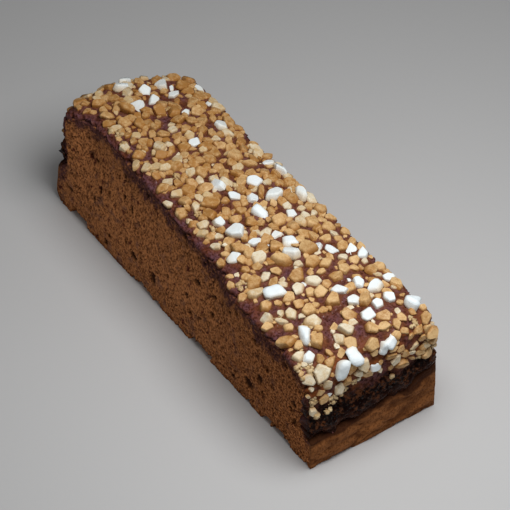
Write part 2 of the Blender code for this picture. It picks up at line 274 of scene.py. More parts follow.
def makePiece(name, points, quads, material, values=None, corners=None):
    # a piece from arrays; corners are extra triangles, and values are numbers kept at each vertex
    mesh = bpy.data.meshes.new(name)
    faces = [quads] if corners is None else [quads, corners]
    loops = np.concatenate([f.ravel() for f in faces]).astype(np.int32)
    sizes = np.concatenate([np.full(len(f), f.shape[1]) for f in faces]).astype(np.int32)
    mesh.vertices.add(len(points))
    mesh.vertices.foreach_set("co", np.ascontiguousarray(points, np.float32).ravel())
    mesh.loops.add(len(loops))
    mesh.loops.foreach_set("vertex_index", loops)
    mesh.polygons.add(len(sizes))
    mesh.polygons.foreach_set("loop_start", np.concatenate([[0], np.cumsum(sizes)[:-1]]).astype(np.int32))
    mesh.polygons.foreach_set("use_smooth", np.ones(len(sizes), bool))
    for key, array in (values or {}).items():
        layer = mesh.attributes.new(key, "FLOAT", "POINT")
        layer.data.foreach_set("value", np.ascontiguousarray(array, np.float32).ravel())
    mesh.update(calc_edges=True)
    mesh.validate()
    mesh.materials.append(material)
    piece = bpy.data.objects.new(name, mesh)
    bpy.context.scene.collection.objects.link(piece)
    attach(piece, "root")
    print("made", name, "with", len(sizes), "faces")
    return piece


# nodes for the materials
def put(tree, kind, sockets=None, **settings):
    # a shader node with its settings, and a value or a link for each named socket
    node = tree.nodes.new("ShaderNode" + kind)
    for key, value in settings.items():
        setattr(node, key, value)
    return feed(tree, node, sockets or {})


def feed(tree, node, sockets):
    # a link from another node's output, or a plain value, for each socket
    for key, value in sockets.items():
        if isinstance(value, bpy.types.NodeSocket):
            tree.links.new(value, node.inputs[key])
        else:
            node.inputs[key].default_value = value
    return node


def calc(tree, operation, a, b, clamp=False):
    # one operation on two values or links; clamp keeps what comes out within 0 and 1
    return put(tree, "Math", {0: a, 1: b}, operation=operation, use_clamp=clamp).outputs[0]


def portion(tree, value, amount):
    # value . amount
    return calc(tree, "MULTIPLY", value, amount)


def weighed(tree, *parts):
    # the sum of value . amount over the parts
    total, *others = [portion(tree, value, amount) for value, amount in parts]
    for other in others:
        total = calc(tree, "ADD", total, other)
    return total


def blendColour(tree, factor, a, b, kind="MIX"):
    # from colour a at factor 0 to colour b at factor 1; sockets 6, 7 and 2 are the colours of a mix
    node = put(tree, "Mix", data_type="RGBA", blend_type=kind)
    return feed(tree, node, {0: factor, 6: a, 7: b}).outputs[2]


def layColours(tree, tone, layers):
    # colours laid over one another, each as strong as its mask
    for mask, colour in layers:
        tone = blendColour(tree, mask, tone, colour)
    return tone


def noise(tree, place, scale, detail, roughness=0.55):
    # clouds round a half, in layers that are each twice as fine and as strong as the roughness says
    return put(tree, "TexNoise", {"Vector": place, "Scale": scale, "Detail": detail,
                                  "Roughness": roughness}).outputs[0]


def between(tree, value, low, high):
    # 0 at low and 1 at high, straight in between
    node = put(tree, "MapRange", {"Value": value, "From Min": low, "From Max": high}, clamp=True)
    return node.outputs[0]


def patchy(tree, place, scale, detail, low, high):
    # noise of a scale and a detail, from 0 where it is low to 1 where it is high
    return between(tree, noise(tree, place, scale, detail), low, high)


def kept(tree, name):
    # a number kept at each vertex
    return put(tree, "Attribute", attribute_name=name, attribute_type="GEOMETRY").outputs["Fac"]


def startMaterial(name, surface):
    # a material with its fixed values; it gives back its tree, its shader and the place on the piece too
    material = bpy.data.materials.new(name)
    material.use_nodes = True
    tree = material.node_tree
    shader = feed(tree, tree.nodes["Principled BSDF"], surface)
    place = put(tree, "TexCoord").outputs["Object"]
    return material, tree, shader, place


def finishMaterial(tree, shader, colour, height, depth, roughness=None):
    # colour, surface relief and, where it varies, roughness go into the shader
    tree.links.new(colour, shader.inputs["Base Color"])
    bump = put(tree, "Bump", {"Height": height, "Distance": depth, "Strength": 1.0})
    tree.links.new(bump.outputs[0], shader.inputs["Normal"])
    if roughness is not None:
        tree.links.new(roughness, shader.inputs["Roughness"])


def newGroup(name, inputs, outputs):
    # a node group with named inputs and outputs
    group = bpy.data.node_groups.new(name, "ShaderNodeTree")
    kinds = {"colour": "NodeSocketColor", "value": "NodeSocketFloat", "vector": "NodeSocketVector"}
    for way, sockets in (("INPUT", inputs), ("OUTPUT", outputs)):
        for key, kind in sockets.items():
            group.interface.new_socket(name=key, in_out=way, socket_type=kinds[kind])
    return group, group.nodes.new("NodeGroupInput").outputs, group.nodes.new("NodeGroupOutput").inputs


def useGroup(tree, group, sockets):
    # the outputs of a node group that is given these inputs
    return put(tree, "Group", sockets, node_tree=group).outputs


# camera, at the photograph's angle
view = {
    "azimuth": 55.46,
    "elevation": 46.3165,
    "distance": 1.5,
    "aimAt": (0.7 * mm, 0.0, 0.0),
    "aimPixel": (242.30, 299.94),    # where that point lies in the picture
    "picture": 510,
    "lens": 260.0,
    "sensor": 36.0,
    "clipStart": 0.01,
}
pixel = view["distance"] * view["sensor"] / view["lens"] / view["picture"]    # its size at the bar


def cameraFrame():
    # unit vectors right, up and back of a level camera, turned so that aimPixel sees aimAt
    a, e = math.radians(view["azimuth"]), math.radians(view["elevation"])
    back = Vector((math.sin(a) * math.cos(e), -math.cos(a) * math.cos(e), math.sin(e)))
    right = Vector((math.cos(a), math.sin(a), 0.0))
    up = back.cross(right)
    place = Vector(view["aimAt"]) + back * view["distance"]
    focal = view["lens"] / view["sensor"] * view["picture"]
    half = view["picture"] / 2.0
    aim = right * (half - view["aimPixel"][0]) + up * (view["aimPixel"][1] - half) - back * focal
    newBack = -aim.normalized()
    newRight = (right - newBack * right.dot(newBack)).normalized()
    return place, newRight, newBack.cross(newRight), newBack, focal


def toPicture(points):
    # where the camera sees points, across and down the picture
    place, right, up, back, focal = cameraFrame()
    away = points - np.array(place)
    depth = -(away @ np.array(back))
    half = view["picture"] / 2.0
    return half + focal * (away @ np.array(right)) / depth, half - focal * (away @ np.array(up)) / depth


def seenAt(points, places):
    # for each place of the picture, the number of the point that the camera sees closest to it
    across, down = toPicture(points)
    return [np.argmin(np.hypot(across - place[0], down - place[1])) for place in places]


def makeCamera():
    # the columns of its turn are the unit vectors right, up and back
    place, right, up, back, _ = cameraFrame()
    data = bpy.data.cameras.new("camera")
    data.lens = view["lens"]
    data.sensor_width = view["sensor"]
    data.clip_start = view["clipStart"]
    camera = bpy.data.objects.new("camera", data)
    turn = Matrix((right, up, back)).transposed()
    camera.matrix_world = Matrix.Translation(place) @ turn.to_4x4()
    bpy.context.scene.collection.objects.link(camera)
    bpy.context.scene.camera = camera
    print("camera set")


# floor and light
studio = {
    "floorSize": 3.0,
    "floorColour": (0.60, 0.60, 0.60, 1.0),
    "floorShade": (0.58, 0.58, 0.58, 1.0),
    "floorSurface": {"Roughness": 0.8},
    "floorClouds": (6.0, 2.0),       # scale and detail
    "floorGrain": (300.0, 2.0),
    "floorRelief": 0.05 * mm,
    "world": 0.165,
    "worldColour": (1.0, 1.0, 1.0, 1.0),
    "keyPower": 0.97,
    "keySize": 0.24,
    "keyPlace": (0.12, 0.02, 0.34),
    "keyAim": (0.07, -0.01, 0.05),
}


def makeFloor():
    # a level square, its paint blended from two greys by a cloudy noise
    material, tree, shader, place = startMaterial("floorPaint", studio["floorSurface"])
    cloud = noise(tree, place, *studio["floorClouds"])
    tone = blendColour(tree, cloud, studio["floorColour"], studio["floorShade"])
    finishMaterial(tree, shader, tone, noise(tree, place, *studio["floorGrain"]), studio["floorRelief"])
    half = studio["floorSize"] / 2.0
    mesh = bpy.data.meshes.new("floor")
    mesh.from_pydata([(-half, -half, 0.0), (half, -half, 0.0), (half, half, 0.0), (-half, half, 0.0)],
                     [], [(0, 1, 2, 3)])
    mesh.materials.append(material)
    floor = bpy.data.objects.new("floor", mesh)
    bpy.context.scene.collection.objects.link(floor)


def makeLight():
    # even light from all round, and a disc over the near end that faces its aim
    world = bpy.data.worlds.new("studio")
    world.use_nodes = True
    background = world.node_tree.nodes["Background"]
    background.inputs["Color"].default_value = studio["worldColour"]
    background.inputs["Strength"].default_value = studio["world"]
    bpy.context.scene.world = world
    light = bpy.data.lights.new("key", "AREA")
    light.shape = "DISK"
    light.size = studio["keySize"]
    light.energy = studio["keyPower"]
    key = bpy.data.objects.new("key", light)
    key.location = studio["keyPlace"]
    key.rotation_mode = "QUATERNION"
    aim = Vector(studio["keyAim"]) - Vector(studio["keyPlace"])
    key.rotation_quaternion = aim.to_track_quat("-Z", "Y")
    bpy.context.scene.collection.objects.link(key)
    bpy.context.scene.view_settings.view_transform = "Standard"
    print("floor and light set")


# the loaf: porous crumb on both cut sides
crumb = {
    "linesAlong": 441,
    "linesUp": 105,
    "linesAcross": 7,
    "slant": math.radians(14.0),   # pores lean towards the near end
    "stretch": 1.4,
    "endInset": 0.0065,            # share by which the baked ends leave room for their crust
    "insetLevels": (0.40, 0.44),
    "bend": 0.9 * mm,              # how far the rows of pores wander
    "bendAlong": (5.0, 5.0, 3, 3, 0.0),    # these are patterns, as layered takes them
    "bendUp": (5.5, 5.5, 6, 3, 0.0),
    "patternStart": 0.5,
    "looseness": (0.75, 0.35),     # how open the pores are, and how much that varies
    "loose": (9.0, 9.0, 11, 1, 4.0),
    "pores": (                     # cell, share of cells, reach in cells, depth, strength of painted shade
        (1.25 * mm, 0.92, (0.24, 0.50), 0.45 * mm, 0.60),
        (2.1 * mm, 0.30, (0.18, 0.42), 0.85 * mm, 0.80),
        (8.0 * mm, 0.16, (0.09, 0.17), 2.20 * mm, 1.00),
    ),
    "poreSeed": 20,
    "largeCell": 5 * mm,           # pores of larger cells keep their size
    "poreShadeStrength": (0.90, 0.35),      # painted shade of the pores at the far end, and how much is added at the near one
    "poreShadeAlong": (-60 * mm, 60 * mm),
    "holes": (                     # across and down the picture, half the length and half the height
        (70, 189, 2.6 * mm, 0.8 * mm), (75, 209, 1.0 * mm, 1.2 * mm), (94, 199, 0.9 * mm, 1.3 * mm),
        (100, 191, 0.8 * mm, 2.0 * mm), (97, 161, 1.0 * mm, 0.9 * mm), (125, 177, 0.9 * mm, 1.1 * mm),
        (147, 194, 0.9 * mm, 3.0 * mm), (132, 210, 1.0 * mm, 1.8 * mm), (124, 197, 1.1 * mm, 1.2 * mm),
        (105, 241, 1.1 * mm, 1.9 * mm), (133, 256, 2.2 * mm, 1.5 * mm), (152, 278, 1.8 * mm, 2.7 * mm),
        (184, 236, 1.6 * mm, 1.8 * mm), (205, 254, 1.5 * mm, 1.2 * mm), (197, 283, 1.8 * mm, 1.1 * mm),
        (186, 295, 1.0 * mm, 1.1 * mm), (214, 298, 1.3 * mm, 1.0 * mm), (229, 312, 1.3 * mm, 1.5 * mm),
        (248, 383, 2.6 * mm, 2.4 * mm), (259, 379, 1.7 * mm, 2.2 * mm), (232, 375, 1.5 * mm, 0.9 * mm),
        (262, 393, 1.3 * mm, 1.0 * mm), (293, 404, 1.4 * mm, 1.6 * mm), (294, 422, 1.0 * mm, 1.8 * mm),
    ),
    "holeDepth": 1.0 * mm,
    "holeRagged": 0.4 * mm,
    "holeRim": (1.0, 1.0, 35, 2, 0.0),
    "chip": 1.9 * mm,              # crumbs missing along the lower edges
    "chipHeight": 5 * mm,
    "chipWhere": (0.0, 0.7),
    "chips": (4.0, 6.0, 31, 4, 9.0),
    "waver": 0.16 * mm,
    "wavering": (2.5, 2.5, 41, 3, 0.0),
    "soakDepth": 4.2 * mm,         # of the glaze in the crumb, in lobes with a ragged border
    "soakLobe": 3.6 * mm,
    "soakRagged": 2.6 * mm,
    "soakFade": (3.0 * mm, -2.6 * mm),
    "lobes": (7.0, 1.0, 51, 3, 5.0),
    "ragged": (2.2, 2.2, 56, 2, 3.0),
    "ledge": (90 * mm, 20 * mm),   # where the syrup soaks in: distance from the middle, and height
    "ledgeTall": 1.8,
    "ledgeRagged": 1.5 * mm,
    "ledgeFade": (6.5 * mm, 3.0 * mm),
    # painted shade: its share rises along the cut sides towards the near end
    "shadeAlong": (-10 * mm, 90 * mm),
    "crustBand": (2.2 * mm, 0.3 * mm),     # baked lower edge of the cut sides
    "crustWaver": 0.9 * mm,
    "crustEdge": (2.0, 1.0, 61, 3, 1.0),
    "endShade": (0.80, 0.73, 0.64, 1.0),    # painted shade: what the colours are multiplied by at the near end
    "light": (0.560, 0.218, 0.077, 1.0),
    "dark": (0.125, 0.038, 0.012, 1.0),
    # painted shade: near black put into the pores and holes
    "poreShade": (0.026, 0.007, 0.003, 1.0),
    "poreShadeShare": 0.95,
    "moist": (0.150, 0.075, 0.066, 1.0),    # faint greyish patches
    "moistPatches": (190.0, 2.0, 0.56, 0.70),    # as patchy takes them
    "moistShare": 0.6,
    "soaked": (0.120, 0.045, 0.042, 1.0),
    "soakedPatches": (800.0, 2.0, 0.28, 0.50),
    "crust": (0.250, 0.074, 0.020, 1.0),
    "redFleck": (0.125, 0.030, 0.016, 1.0),
    "redPatches": (310.0, 1.0, 0.66, 0.72),
    "paleFleck": (0.70, 0.30, 0.12, 1.0),
    "flecks": (1000.0, 1.0),       # scale and detail of the pale flecks and dark specks
    "paleWhere": (0.53, 0.62),
    "crisp": (0.3, 0.7),           # share of the pale flecks that shows far, and what the near end adds
    "darkWhere": (0.45, 0.37),
    "speckShare": 0.9,
    "relief": 0.5 * mm,
    "surface": {"Roughness": 0.9, "Specular IOR Level": 0.08},
}

# patches and fine specks that crumb and crust share: scale, detail and roughness of each noise
speckle = {
    "patches": (90.0, 4.0, 0.6),
    "grain": (1150.0, 4.0, 0.8),
    "mottle": (430.0, 2.0, 0.5),
    "cells": 1150.0,
    "strokes": (0.12, 0.55),
    "shares": (0.10, 0.34, 0.24, 0.32),    # of patches, grain, strokes and mottle in the tone
    "tone": (0.39, 0.62),
}


def makeBakedSpeckle():
    # the tone goes from dark to light by a weighed sum of three noises and of strokes, which are stretched
    # cells; the grain is half noise and half strokes
    group, given, result = newGroup("bakedSpeckle",
                                    {"Place": "vector", "Light": "colour", "Dark": "colour"},
                                    {"Colour": "colour", "Grain": "value"})
    place = given["Place"]
    patches, grain, mottle = [noise(group, place, *speckle[key]) for key in ("patches", "grain", "mottle")]
    turned = put(group, "Mapping", {"Vector": place, "Rotation": (0.0, crumb["slant"], 0.0),
                                    "Scale": (1.0, 1.0, 1.0 / crumb["stretch"])}).outputs[0]
    cells = put(group, "TexVoronoi", {"Vector": turned, "Scale": speckle["cells"]}).outputs["Distance"]
    strokes = between(group, cells, *speckle["strokes"])
    mixed = weighed(group, *zip((patches, grain, strokes, mottle), speckle["shares"]))
    tone = blendColour(group, between(group, mixed, *speckle["tone"]), given["Dark"], given["Light"])
    group.links.new(tone, result["Colour"])
    group.links.new(weighed(group, (grain, 0.5), (strokes, 0.5)), result["Grain"])
    return group


def pictureHoles(x, z):
    # pits on the leaning cut side, where the photograph shows its largest holes, as deep as
    # (1.6 - 1.1 . (distance / reach) ^ 2) ^ 0.5, between 0 and 1
    deepest = np.zeros(x.shape)
    level = np.linspace(0.0, 1.0, crumb["linesUp"])[None]
    side = loafPoint(np.linspace(-1.0, 1.0, crumb["linesAlong"])[:, None], -1.0, level)
    for number, (_, _, wide, tall) in zip(seenAt(side, crumb["holes"]), crumb["holes"]):
        middleX, _, middleZ = side.reshape(-1, 3)[number]
        away = np.hypot((x - middleX) / wide, (z - middleZ) / tall)
        deepest = np.maximum(deepest, np.clip(1.6 - 1.1 * away ** 2, 0.0, 1.0) ** 0.5)
    return deepest


def sidePores(x, z, side):
    # slanted, tall pores, large holes and chips at the lower edge: how deep each point is, and how much
    # painted shade it gets in its pores and holes
    far, high = x / mm, z / mm
    bentX = x + crumb["bend"] * layered(crumb["bendAlong"], far, high) + side
    bentZ = z + crumb["bend"] * layered(crumb["bendUp"], far, high) + crumb["patternStart"]
    s, c = math.sin(crumb["slant"]), math.cos(crumb["slant"])
    u = bentX * c - bentZ * s
    v = (bentX * s + bentZ * c) / crumb["stretch"]
    deep = np.zeros(len(x))
    dark = np.zeros(len(x))
    openness = crumb["looseness"][0] + crumb["looseness"][1] * layered(crumb["loose"], far, high, side)
    poreShadeNear = crumb["poreShadeStrength"][0] + crumb["poreShadeStrength"][1] * rise(*crumb["poreShadeAlong"], x)
    for n, (cell, share, reach, depth, poreShadeStrength) in enumerate(crumb["pores"]):
        bowl = pits(u, v, cell, share, reach, crumb["poreSeed"] + n)
        bowl = bowl * np.where(cell < crumb["largeCell"], openness, 1.0)
        deep += depth * bowl
        dark = np.maximum(dark, bowl * poreShadeStrength * poreShadeNear)
    hole = pictureHoles(x + crumb["holeRagged"] * layered(crumb["holeRim"], far, high), z) * (side > 0.0)
    deep = np.maximum(deep, crumb["holeDepth"] * hole)
    # the large holes get full painted shade, the top and the underside none
    dark = np.maximum(dark, hole) * np.abs(side)
    chips = rise(*crumb["chipWhere"], layered(crumb["chips"], far, high, side))
    chips = chips * rise(crumb["chipHeight"], 0.0, z)
    deep += crumb["chip"] * chips + crumb["waver"] * layered(crumb["wavering"], far, high)
    return deep, np.minimum(dark, 1.0)


def soakedShare(x, y, z, side):
    # where glaze soaked into the crumb: in lobes below the top, and behind the syrup of the ends
    ragged = layered(crumb["ragged"], x / mm, z / mm, side)
    lobes = crumb["soakDepth"] + crumb["soakLobe"] * layered(crumb["lobes"], x / mm, 0.0, side)
    lobes = lobes + crumb["soakRagged"] * ragged
    below = topHeight(x, y) - z
    ledge = np.hypot(np.abs(x) - crumb["ledge"][0], (z - crumb["ledge"][1]) / crumb["ledgeTall"])
    return np.maximum(rise(*crumb["soakFade"], below - lobes),
                      rise(*crumb["ledgeFade"], ledge + crumb["ledgeRagged"] * ragged))


def makeCrumb(bakedSpeckle):
    # a box lattice on the form of the bar, its cut sides pressed in along Y
    along = np.linspace(-1.0, 1.0, crumb["linesAlong"])
    across = np.linspace(-1.0, 1.0, crumb["linesAcross"])
    level = np.linspace(0.0, 1.0, crumb["linesUp"])
    (i, j, k), quads = boxLattice(along, across, level)
    low = 1.0 - rise(*crumb["insetLevels"], level[k])
    points = loafPoint(along[i] * (1.0 - crumb["endInset"] * low), across[j], level[k])
    side = np.where(j == 0, 1.0, np.where(j == len(across) - 1, -1.0, 0.0))
    x, z = points[:, 0], points[:, 2]
    deep, poreShade = sidePores(x, z, side)
    points[:, 1] += side * deep
    edge = z + crumb["crustWaver"] * layered(crumb["crustEdge"], x / mm, 0.0, side)
    # shade is that share of painted shade; it also makes the flecks crisper
    values = {"poreShade": poreShade, "soaked": soakedShare(x, points[:, 1], z, side),
              "crust": rise(*crumb["crustBand"], edge), "shade": rise(*crumb["shadeAlong"], x) * np.abs(side)}
    piece = makePiece("crumb", points, quads, crumbMaterial(bakedSpeckle), values)
    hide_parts("cake")


def crumbMaterial(bakedSpeckle):
    # crust, moist patches, flecks, specks, soaked glaze and painted shade in the pores laid over the speckle,
    # one after the other, and painted shade towards the near end
    material, tree, shader, place = startMaterial("crumb", crumb["surface"])
    base = useGroup(tree, bakedSpeckle, {"Place": place, "Light": crumb["light"], "Dark": crumb["dark"]})
    # pale flecks and dark specks, crisper towards the near end
    near = kept(tree, "shade")
    fleck = noise(tree, place, *crumb["flecks"])
    crisp = calc(tree, "ADD", portion(tree, near, crumb["crisp"][1]), crumb["crisp"][0])
    specks = portion(tree, between(tree, fleck, *crumb["darkWhere"]), near)
    tone = layColours(tree, base["Colour"], (
        (kept(tree, "crust"), crumb["crust"]),
        (portion(tree, patchy(tree, place, *crumb["moistPatches"]), crumb["moistShare"]), crumb["moist"]),
        (patchy(tree, place, *crumb["redPatches"]), crumb["redFleck"]),
        (portion(tree, between(tree, fleck, *crumb["paleWhere"]), crisp), crumb["paleFleck"]),
        (portion(tree, specks, crumb["speckShare"]), crumb["dark"]),
        (portion(tree, kept(tree, "soaked"), patchy(tree, place, *crumb["soakedPatches"])), crumb["soaked"]),
        (portion(tree, kept(tree, "poreShade"), crumb["poreShadeShare"]), crumb["poreShade"])))
    # painted shade: the colours multiplied darker towards the near end
    tone = blendColour(tree, near, tone, crumb["endShade"], "MULTIPLY")
    finishMaterial(tree, shader, tone, base["Grain"], crumb["relief"])
    return material


# the baked ends: a thin wrinkled crust over the base
crust = {
    "linesUp": 70,
    "linesAcross": 181,
    "topLevel": 0.43,
    "thickness": 0.0075,      # as a share of half the length
    "wrinkle": 1.1 * mm,
    "foldLimits": (0.18, 0.8),     # what a fold loses, and its largest height, before it becomes a wrinkle
    "folds": (15.0, 5.5, 72, 2, 0.0),      # these are patterns, as layered takes them
    "bend": 2.2,              # of the folds, in millimetres
    "bends": (14.0, 9.0, 71, 3, 0.0),
    "swell": 0.7 * mm,
    "swells": (9.0, 6.0, 76, 1, 0.0),
    "pit": 0.25 * mm,
    "dents": (1.3 * mm, 0.30, (0.2, 0.5), 78),    # as pits takes them
    "dentStart": 40.0,        # in millimetres
    "dentStretch": 1.7,
    "rim": (0.06, 0.02, 0.25),     # its levels and its width, where this share of the relief is left
    "lift": 1.1 * mm,         # the lower edge stands this far off the table in places
    "liftWhere": (0.1, 0.8),
    "liftLevels": (0.05, 0.0),
    "lifts": (7.0, 1.0, 81, 3, 3.0),
    "patchWhere": (-0.3, 0.9),
    "patches": (5.0, 3.0, 77, 3, 0.0),
    "creaseWhere": (0.36, 0.0),
    "darkShares": (0.55, 0.4, 0.5),        # of painted shade in creases and dents, and of darker patches
    "runs": (6.0, 1.0, 83, 3, 7.0),
    "runDepth": (0.02, 0.075),     # levels that the syrup ran down: unevenly, and more at the upright side
    "runAcross": (0.30, 0.75),
    "runFade": 0.02,
    "stain": (0.22, 0.20, 0.42),   # how strong it is, and its levels
    "light": (0.310, 0.118, 0.038, 1.0),
    "fleck": (0.150, 0.050, 0.014, 1.0),
    # painted shade in the creases and dents, also the colour of the darker patches
    "dark": (0.085, 0.024, 0.006, 1.0),
    "creaseShadeShare": 0.8,
    "soaked": (0.030, 0.008, 0.004, 1.0),
    "soakedShare": 0.85,
    "relief": 0.25 * mm,
    "surface": {"Roughness": 0.75, "Specular IOR Level": 0.06},
}


def crustFolds(y, z):
    # how far each point moves out, by folds across the end, |noise| on bent lines and cut off, by swellings
    # and by dents; and how much painted shade it gets in creases and dents, and darker soft patches
    bent = z + layered(crust["bends"], y, z) * crust["bend"]
    folds = np.abs(layered(crust["folds"], y, bent))
    swell = 0.5 + 0.5 * layered(crust["swells"], y, z)
    dents = pits((y + crust["dentStart"]) * mm / crust["dentStretch"], z * mm, *crust["dents"])
    loss, limit = crust["foldLimits"]
    wrinkles = np.minimum(folds, limit) - loss
    move = crust["wrinkle"] * wrinkles + crust["swell"] * swell - crust["pit"] * dents
    patch = rise(*crust["patchWhere"], layered(crust["patches"], y, bent))
    creaseShade = rise(*crust["creaseWhere"], folds)
    parts = zip((creaseShade, dents, patch), crust["darkShares"])
    return move, np.clip(sum(mask * share for mask, share in parts), 0.0, 1.0)


def crustSyrup(y, level, across):
    # syrup that ran down from the ledge, unevenly and more at the upright side, and the stain below it
    run = crust["runDepth"][0] * layered(crust["runs"], y, 0.0)
    run = run + crust["runDepth"][1] * rise(*crust["runAcross"], across)
    edge = bar["shelfLevel"] - run
    stain, low, high = crust["stain"]
    return np.maximum(rise(edge - crust["runFade"], edge + crust["runFade"], level),
                      stain * rise(low, high, level + run))


def makeCrust(name, near, material):
    # a folded outer sheet, flatter at its rim, and a plain inner one, which rises half as much where the
    # lower edge is lifted; they are joined at the rim
    sign = 1.0 if near else -1.0
    level = np.linspace(0.0, crust["topLevel"], crust["linesUp"])[:, None]
    across = np.linspace(-1.0, 1.0, crust["linesAcross"])[None]
    outer = loafPoint(sign, across, level)
    inner = loafPoint(sign * (1.0 - crust["thickness"]), across, level)
    y, z = outer[..., 1] / mm, outer[..., 2] / mm
    move, dark = crustFolds(y, z)
    soaked = crustSyrup(y, level, across)
    rimLevel, rimWidth, rimShare = crust["rim"]
    border = rise(0.0, rimLevel, level) * rise(0.0, rimWidth, 1.0 - np.abs(across))
    outer[..., 0] += sign * move * atLeast(rimShare, border)
    lift = crust["lift"] * rise(*crust["liftWhere"], layered(crust["lifts"], y, 0.0))
    lift = lift * rise(*crust["liftLevels"], level)
    outer[..., 2] += lift
    inner[..., 2] += lift * 0.5
    ids = np.arange(level.size * across.size).reshape(level.size, across.size)
    back = ids + ids.size
    if near:
        ids, back = ids.T, back.T
    quads = np.concatenate([gridQuads(ids), gridQuads(back)[:, ::-1], rimQuads(ids, back)])
    points = np.concatenate([outer.reshape(-1, 3), inner.reshape(-1, 3)])
    values = {"creaseShadeAndPatches": np.tile(dark.ravel(), 2), "soaked": np.tile(soaked.ravel(), 2)}
    makePiece(name, points, quads, material, values)


def rimQuads(ids, back):
    # the wall round the rim of two sheets that lie back to back
    rim, rimBack = [np.concatenate([sheet[0, :-1], sheet[:-1, -1], sheet[-1, :0:-1], sheet[:0:-1, 0]])
                    for sheet in (ids, back)]
    return np.stack([rim, np.roll(rim, -1), np.roll(rimBack, -1), rimBack], axis=1)


def makeCrusts(bakedSpeckle):
    # both ends in one material: painted shade in creases and dents, darker patches and soaked syrup laid over
    # the speckle
    material, tree, shader, place = startMaterial("bakedCrust", crust["surface"])
    base = useGroup(tree, bakedSpeckle, {"Place": place, "Light": crust["light"], "Dark": crust["fleck"]})
    tone = layColours(tree, base["Colour"], (
        (portion(tree, kept(tree, "creaseShadeAndPatches"), crust["creaseShadeShare"]), crust["dark"]),
        (portion(tree, kept(tree, "soaked"), crust["soakedShare"]), crust["soaked"])))
    finishMaterial(tree, shader, tone, base["Grain"], crust["relief"])
    makeCrust("nearCrust", True, material)
    makeCrust("farCrust", False, material)


# the way over the glaze: up the near end, over the top and down the far end
path = {
    "overLines": 27,          # the grid lines of the solids, so that distances along it agree with theirs
    "climbLines": 7,
    "crowding": 0.35,         # of the lines over the top, towards the ends
    "drip": 0.6 * mm,         # the path goes on this far below both ends of the syrup
    "dripLevels": 0.015,
    "drawn": 2.6 * mm,        # and in places the syrup ends this far above
}


def skinPath():
    # its grid lines as along and level, with the distance walked at each of them; over the top they lie at
    # sin(t . pi / 2) . crowding + t . (1 - crowding), for even steps of t
    t = np.linspace(-1.0, 1.0, path["overLines"])
    over = np.sin(t * math.pi / 2.0) * path["crowding"] + t * (1.0 - path["crowding"])
    over = over[::-1][1:-1]
    climb = np.concatenate([[bar["skinLevel"]], np.linspace(bar["waistLevel"], 1.0, path["climbLines"])])
    along = np.concatenate([np.ones(len(climb)), over, -np.ones(len(climb))])
    level = np.concatenate([climb, np.ones(len(over)), climb[::-1]])
    line = loafPoint(along, 0.0, level, coatTop, 1.0)
    walked = np.concatenate([[0.0], np.cumsum(np.linalg.norm(np.diff(line, axis=0), axis=1))])
    low = bar["skinLevel"] - path["dripLevels"]
    return (np.concatenate([[1.0], along, [-1.0]]), np.concatenate([[low], level, [low]]),
            np.concatenate([[-path["drip"]], walked, [walked[-1] + path["drip"]]]), walked[-1])


pathAlong, pathLevel, walked, pathLength = skinPath()


def skinPoint(distance, y, coat=coatTop, syrup=1.0):
    # a point of the glaze at a distance along the path and a place y across
    along = np.interp(distance, walked, pathAlong)
    level = np.interp(distance, walked, pathLevel)
    return loafPoint(along, np.clip(y / bar["halfWidth"], -1.0, 1.0), level, coat, syrup)


def skinNormal(distance, y):
    # across the two tangents, which are differences over one millimetre each way
    forward = skinPoint(distance + mm, y) - skinPoint(distance - mm, y)
    sideways = skinPoint(distance, y + mm) - skinPoint(distance, y - mm)
    normal = np.cross(sideways, forward)
    return normal / np.linalg.norm(normal, axis=-1, keepdims=True)


# where the sugar nibs lie
nibs = {
    "seed": 7,                        # the same rule and draws as the solids' nibs
    "count": 225,
    "draws": 35,
    "tries": 24,
    "stepShare": (0.37, 0.45),
    "spread": 0.45,
    "length": (4.6 * mm, 7.0 * mm),
    "slender": (0.66, 0.95),
    "flat": (0.50, 0.64),
    "sink": 1.15 * mm,
    "sinkShare": 0.36,
    "bareEdge": 3.0 * mm,
    "bareEdgeFar": 2.6 * mm,
    "uprightEdge": 2.2 * mm,
    "bareEnd": 13.0 * mm,
    "bareEndMiddle": 5.0 * mm,
    "mediumCount": 340,
    "mediumLength": (3.4 * mm, 5.2 * mm),
    "mediumSpread": 0.15,
    "mediumBorder": 0.9,              # share of the bare sides that they keep free too
    "mediumEnd": 1.2,                 # and of the bare ends
    "smallCount": 220,
    "smallLength": (1.8 * mm, 3.2 * mm),
    "smallSpread": 0.2,
    "smallBorder": 0.75,
    "smallEnd": 1.05,
    "restSlender": (0.6, 1.0),        # of medium and small ones
    "restFlat": (0.48, 0.72),
    "whiteShare": 0.015,
    "creamShare": 0.20,
}

